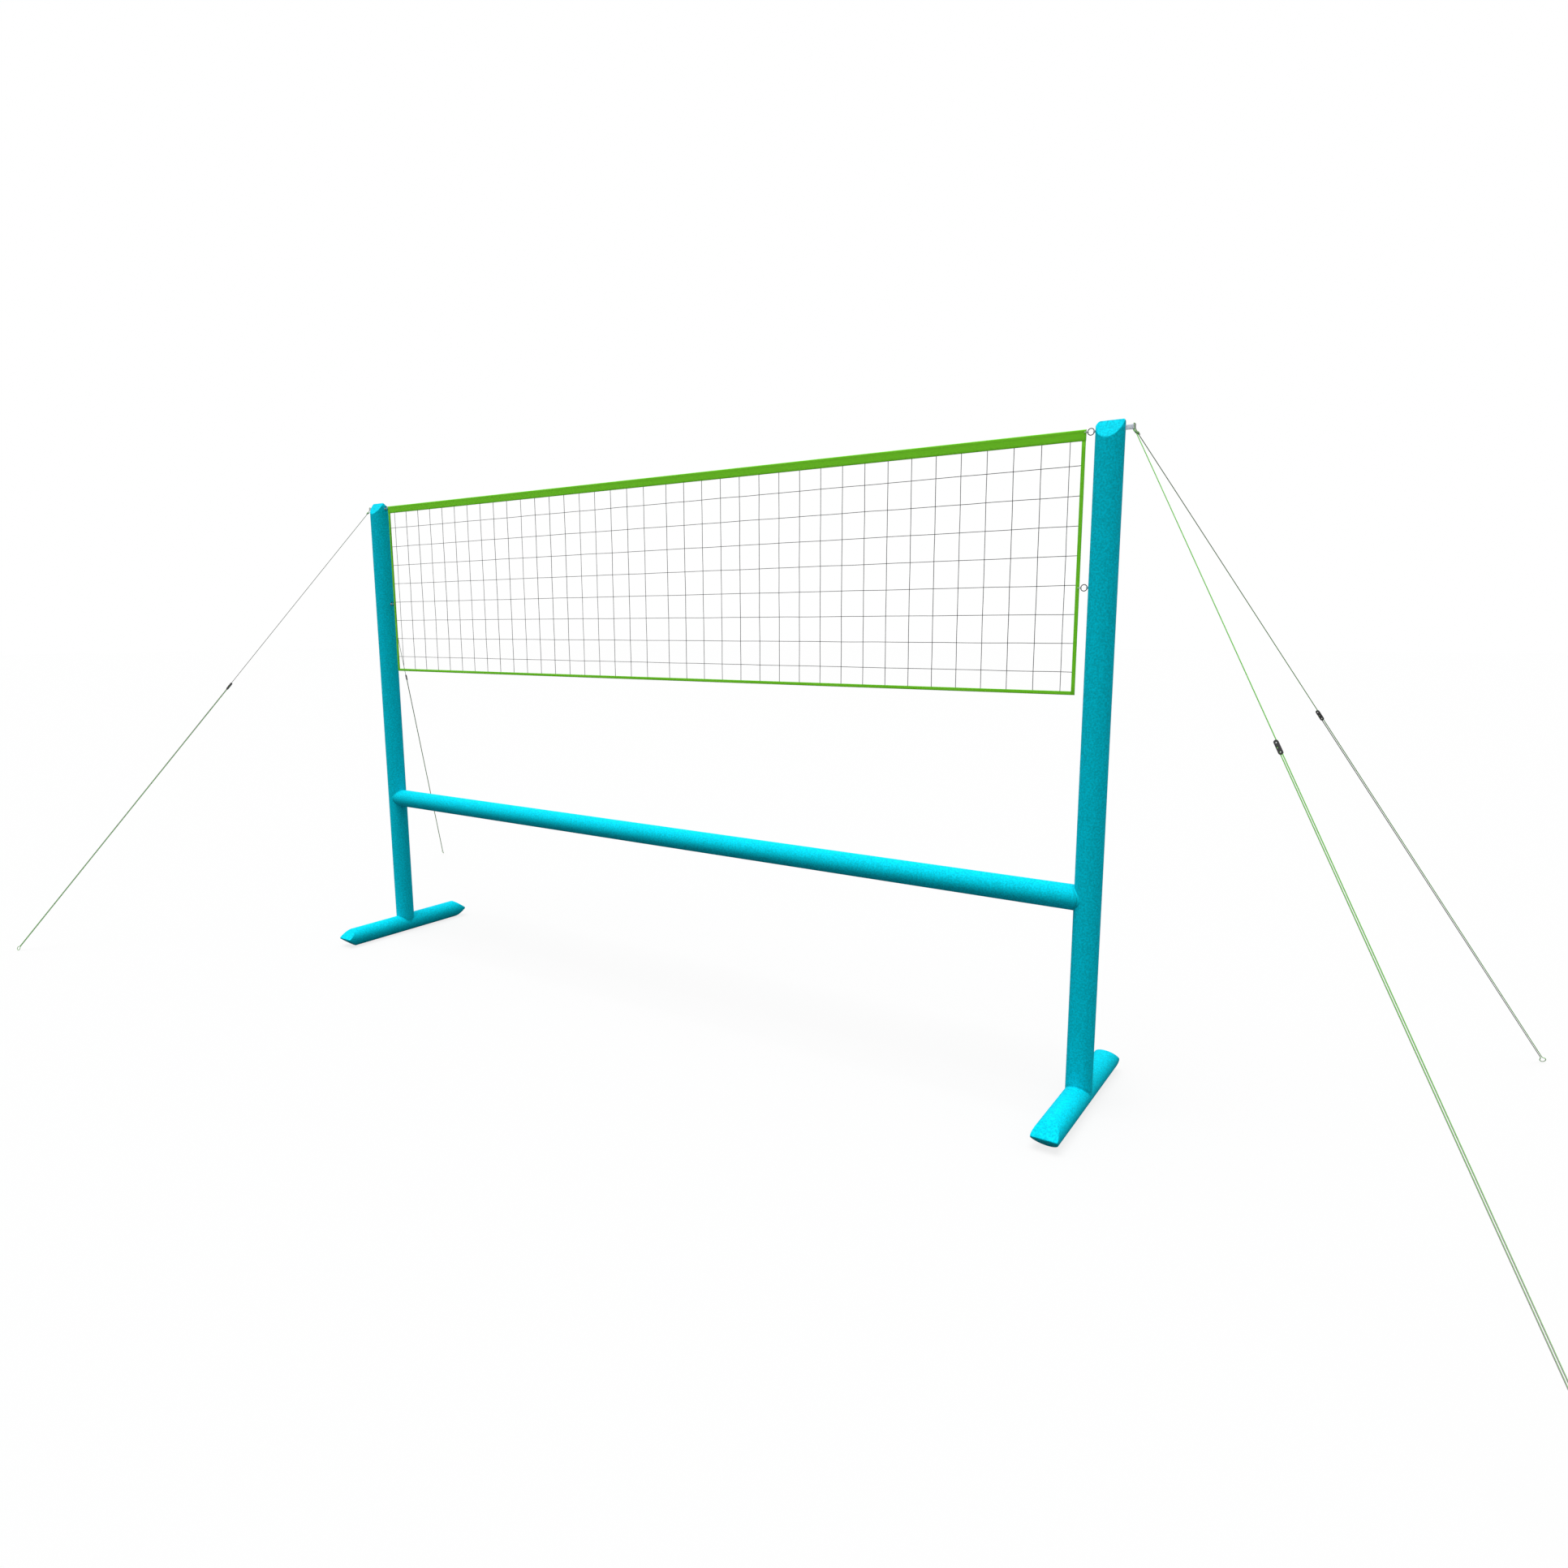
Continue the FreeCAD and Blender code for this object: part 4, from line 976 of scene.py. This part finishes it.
side_tapes = {}
for side_name, side in sides:
    side_tapes[side_name], run = folded_webbing(
        f"side_binding_{side_name}", tape_section(side * 1.9061, side * net_half),
        (1.5336, 2.3973, 24), tape_wall, lambda x, y, z: (x, y, z))
tape_finish = webbing_finish("green_tape", green_dark, green_light, 0.0012, 0.00012,
                             (0.0035, run - 0.0035), green_thread)
for side_name, tape in side_tapes.items():
    tape_finish.dress(tape)
    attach(tape, "frame")
    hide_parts(f"{side_name}_side_tape")
tape, run = folded_webbing("foot_binding", tape_section(1.5464, 1.5335), (-1.9059, 1.9059, 64),
                           tape_wall, lambda z, y, x: (x, y, z))
tape_finish.dress(tape)
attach(tape, "frame")
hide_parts("bottom_tape")

headline_end, headline_height, headline_radius = 1.9187, 2.4303, 0.00175
headline = rope_route("headline", [(-headline_end, 0, headline_height),
                                   (headline_end, 0, headline_height)])
rope_tube(headline, headline_radius, 0)
tie_braid.dress(headline)
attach(headline, "frame")
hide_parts("headline_cord")


# Floor and light. A plain pale ground and a white surround, one large soft sun from above the
# camera's side and an even fill. The camera sees the ground and the surround as white.
bpy.ops.mesh.primitive_plane_add(size=160)
floor = bpy.context.object
floor.name = "floor"
ground = Finish("pale_floor", roughness=0.9, specular=0.0)
seen = (ground.node("ShaderNodeLightPath", output="Is Camera Ray")
        + ground.node("ShaderNodeLightPath", output="Is Glossy Ray")
        + ground.node("ShaderNodeLightPath", output="Is Transmission Ray"))
ground.put({"Base Color": ground.mix(seen, (0.06, 0.06, 0.06, 1), (0.12, 0.12, 0.12, 1)),
            "Emission Color": ground.mix(seen, (0, 0, 0, 1), (1, 1, 1, 1)),
            "Emission Strength": 0.81})
ground.dress(floor)


class Surround(Finish):
    """The world's own nodes, joined in the same way as a material's."""

    def __init__(self, name):
        self.world = bpy.data.worlds.new(name)
        self.world.use_nodes = True
        self.tree = self.world.node_tree
        self.shader = self.tree.nodes["Background"]


surround = Surround("white_surround")
seen = (surround.node("ShaderNodeLightPath", output="Is Camera Ray")
        + surround.node("ShaderNodeLightPath", output="Is Glossy Ray"))
surround.put({"Color": (1, 1, 1, 1), "Strength": seen * 0.42 + 0.58})
scene.world = surround.world

sun = bpy.data.objects.new("sun", bpy.data.lights.new("sun", "SUN"))
sun.data.energy = 3.1
sun.data.angle = math.radians(45)
sun.rotation_euler = (math.radians(11), math.radians(-3.5), 0)
bpy.context.collection.objects.link(sun)
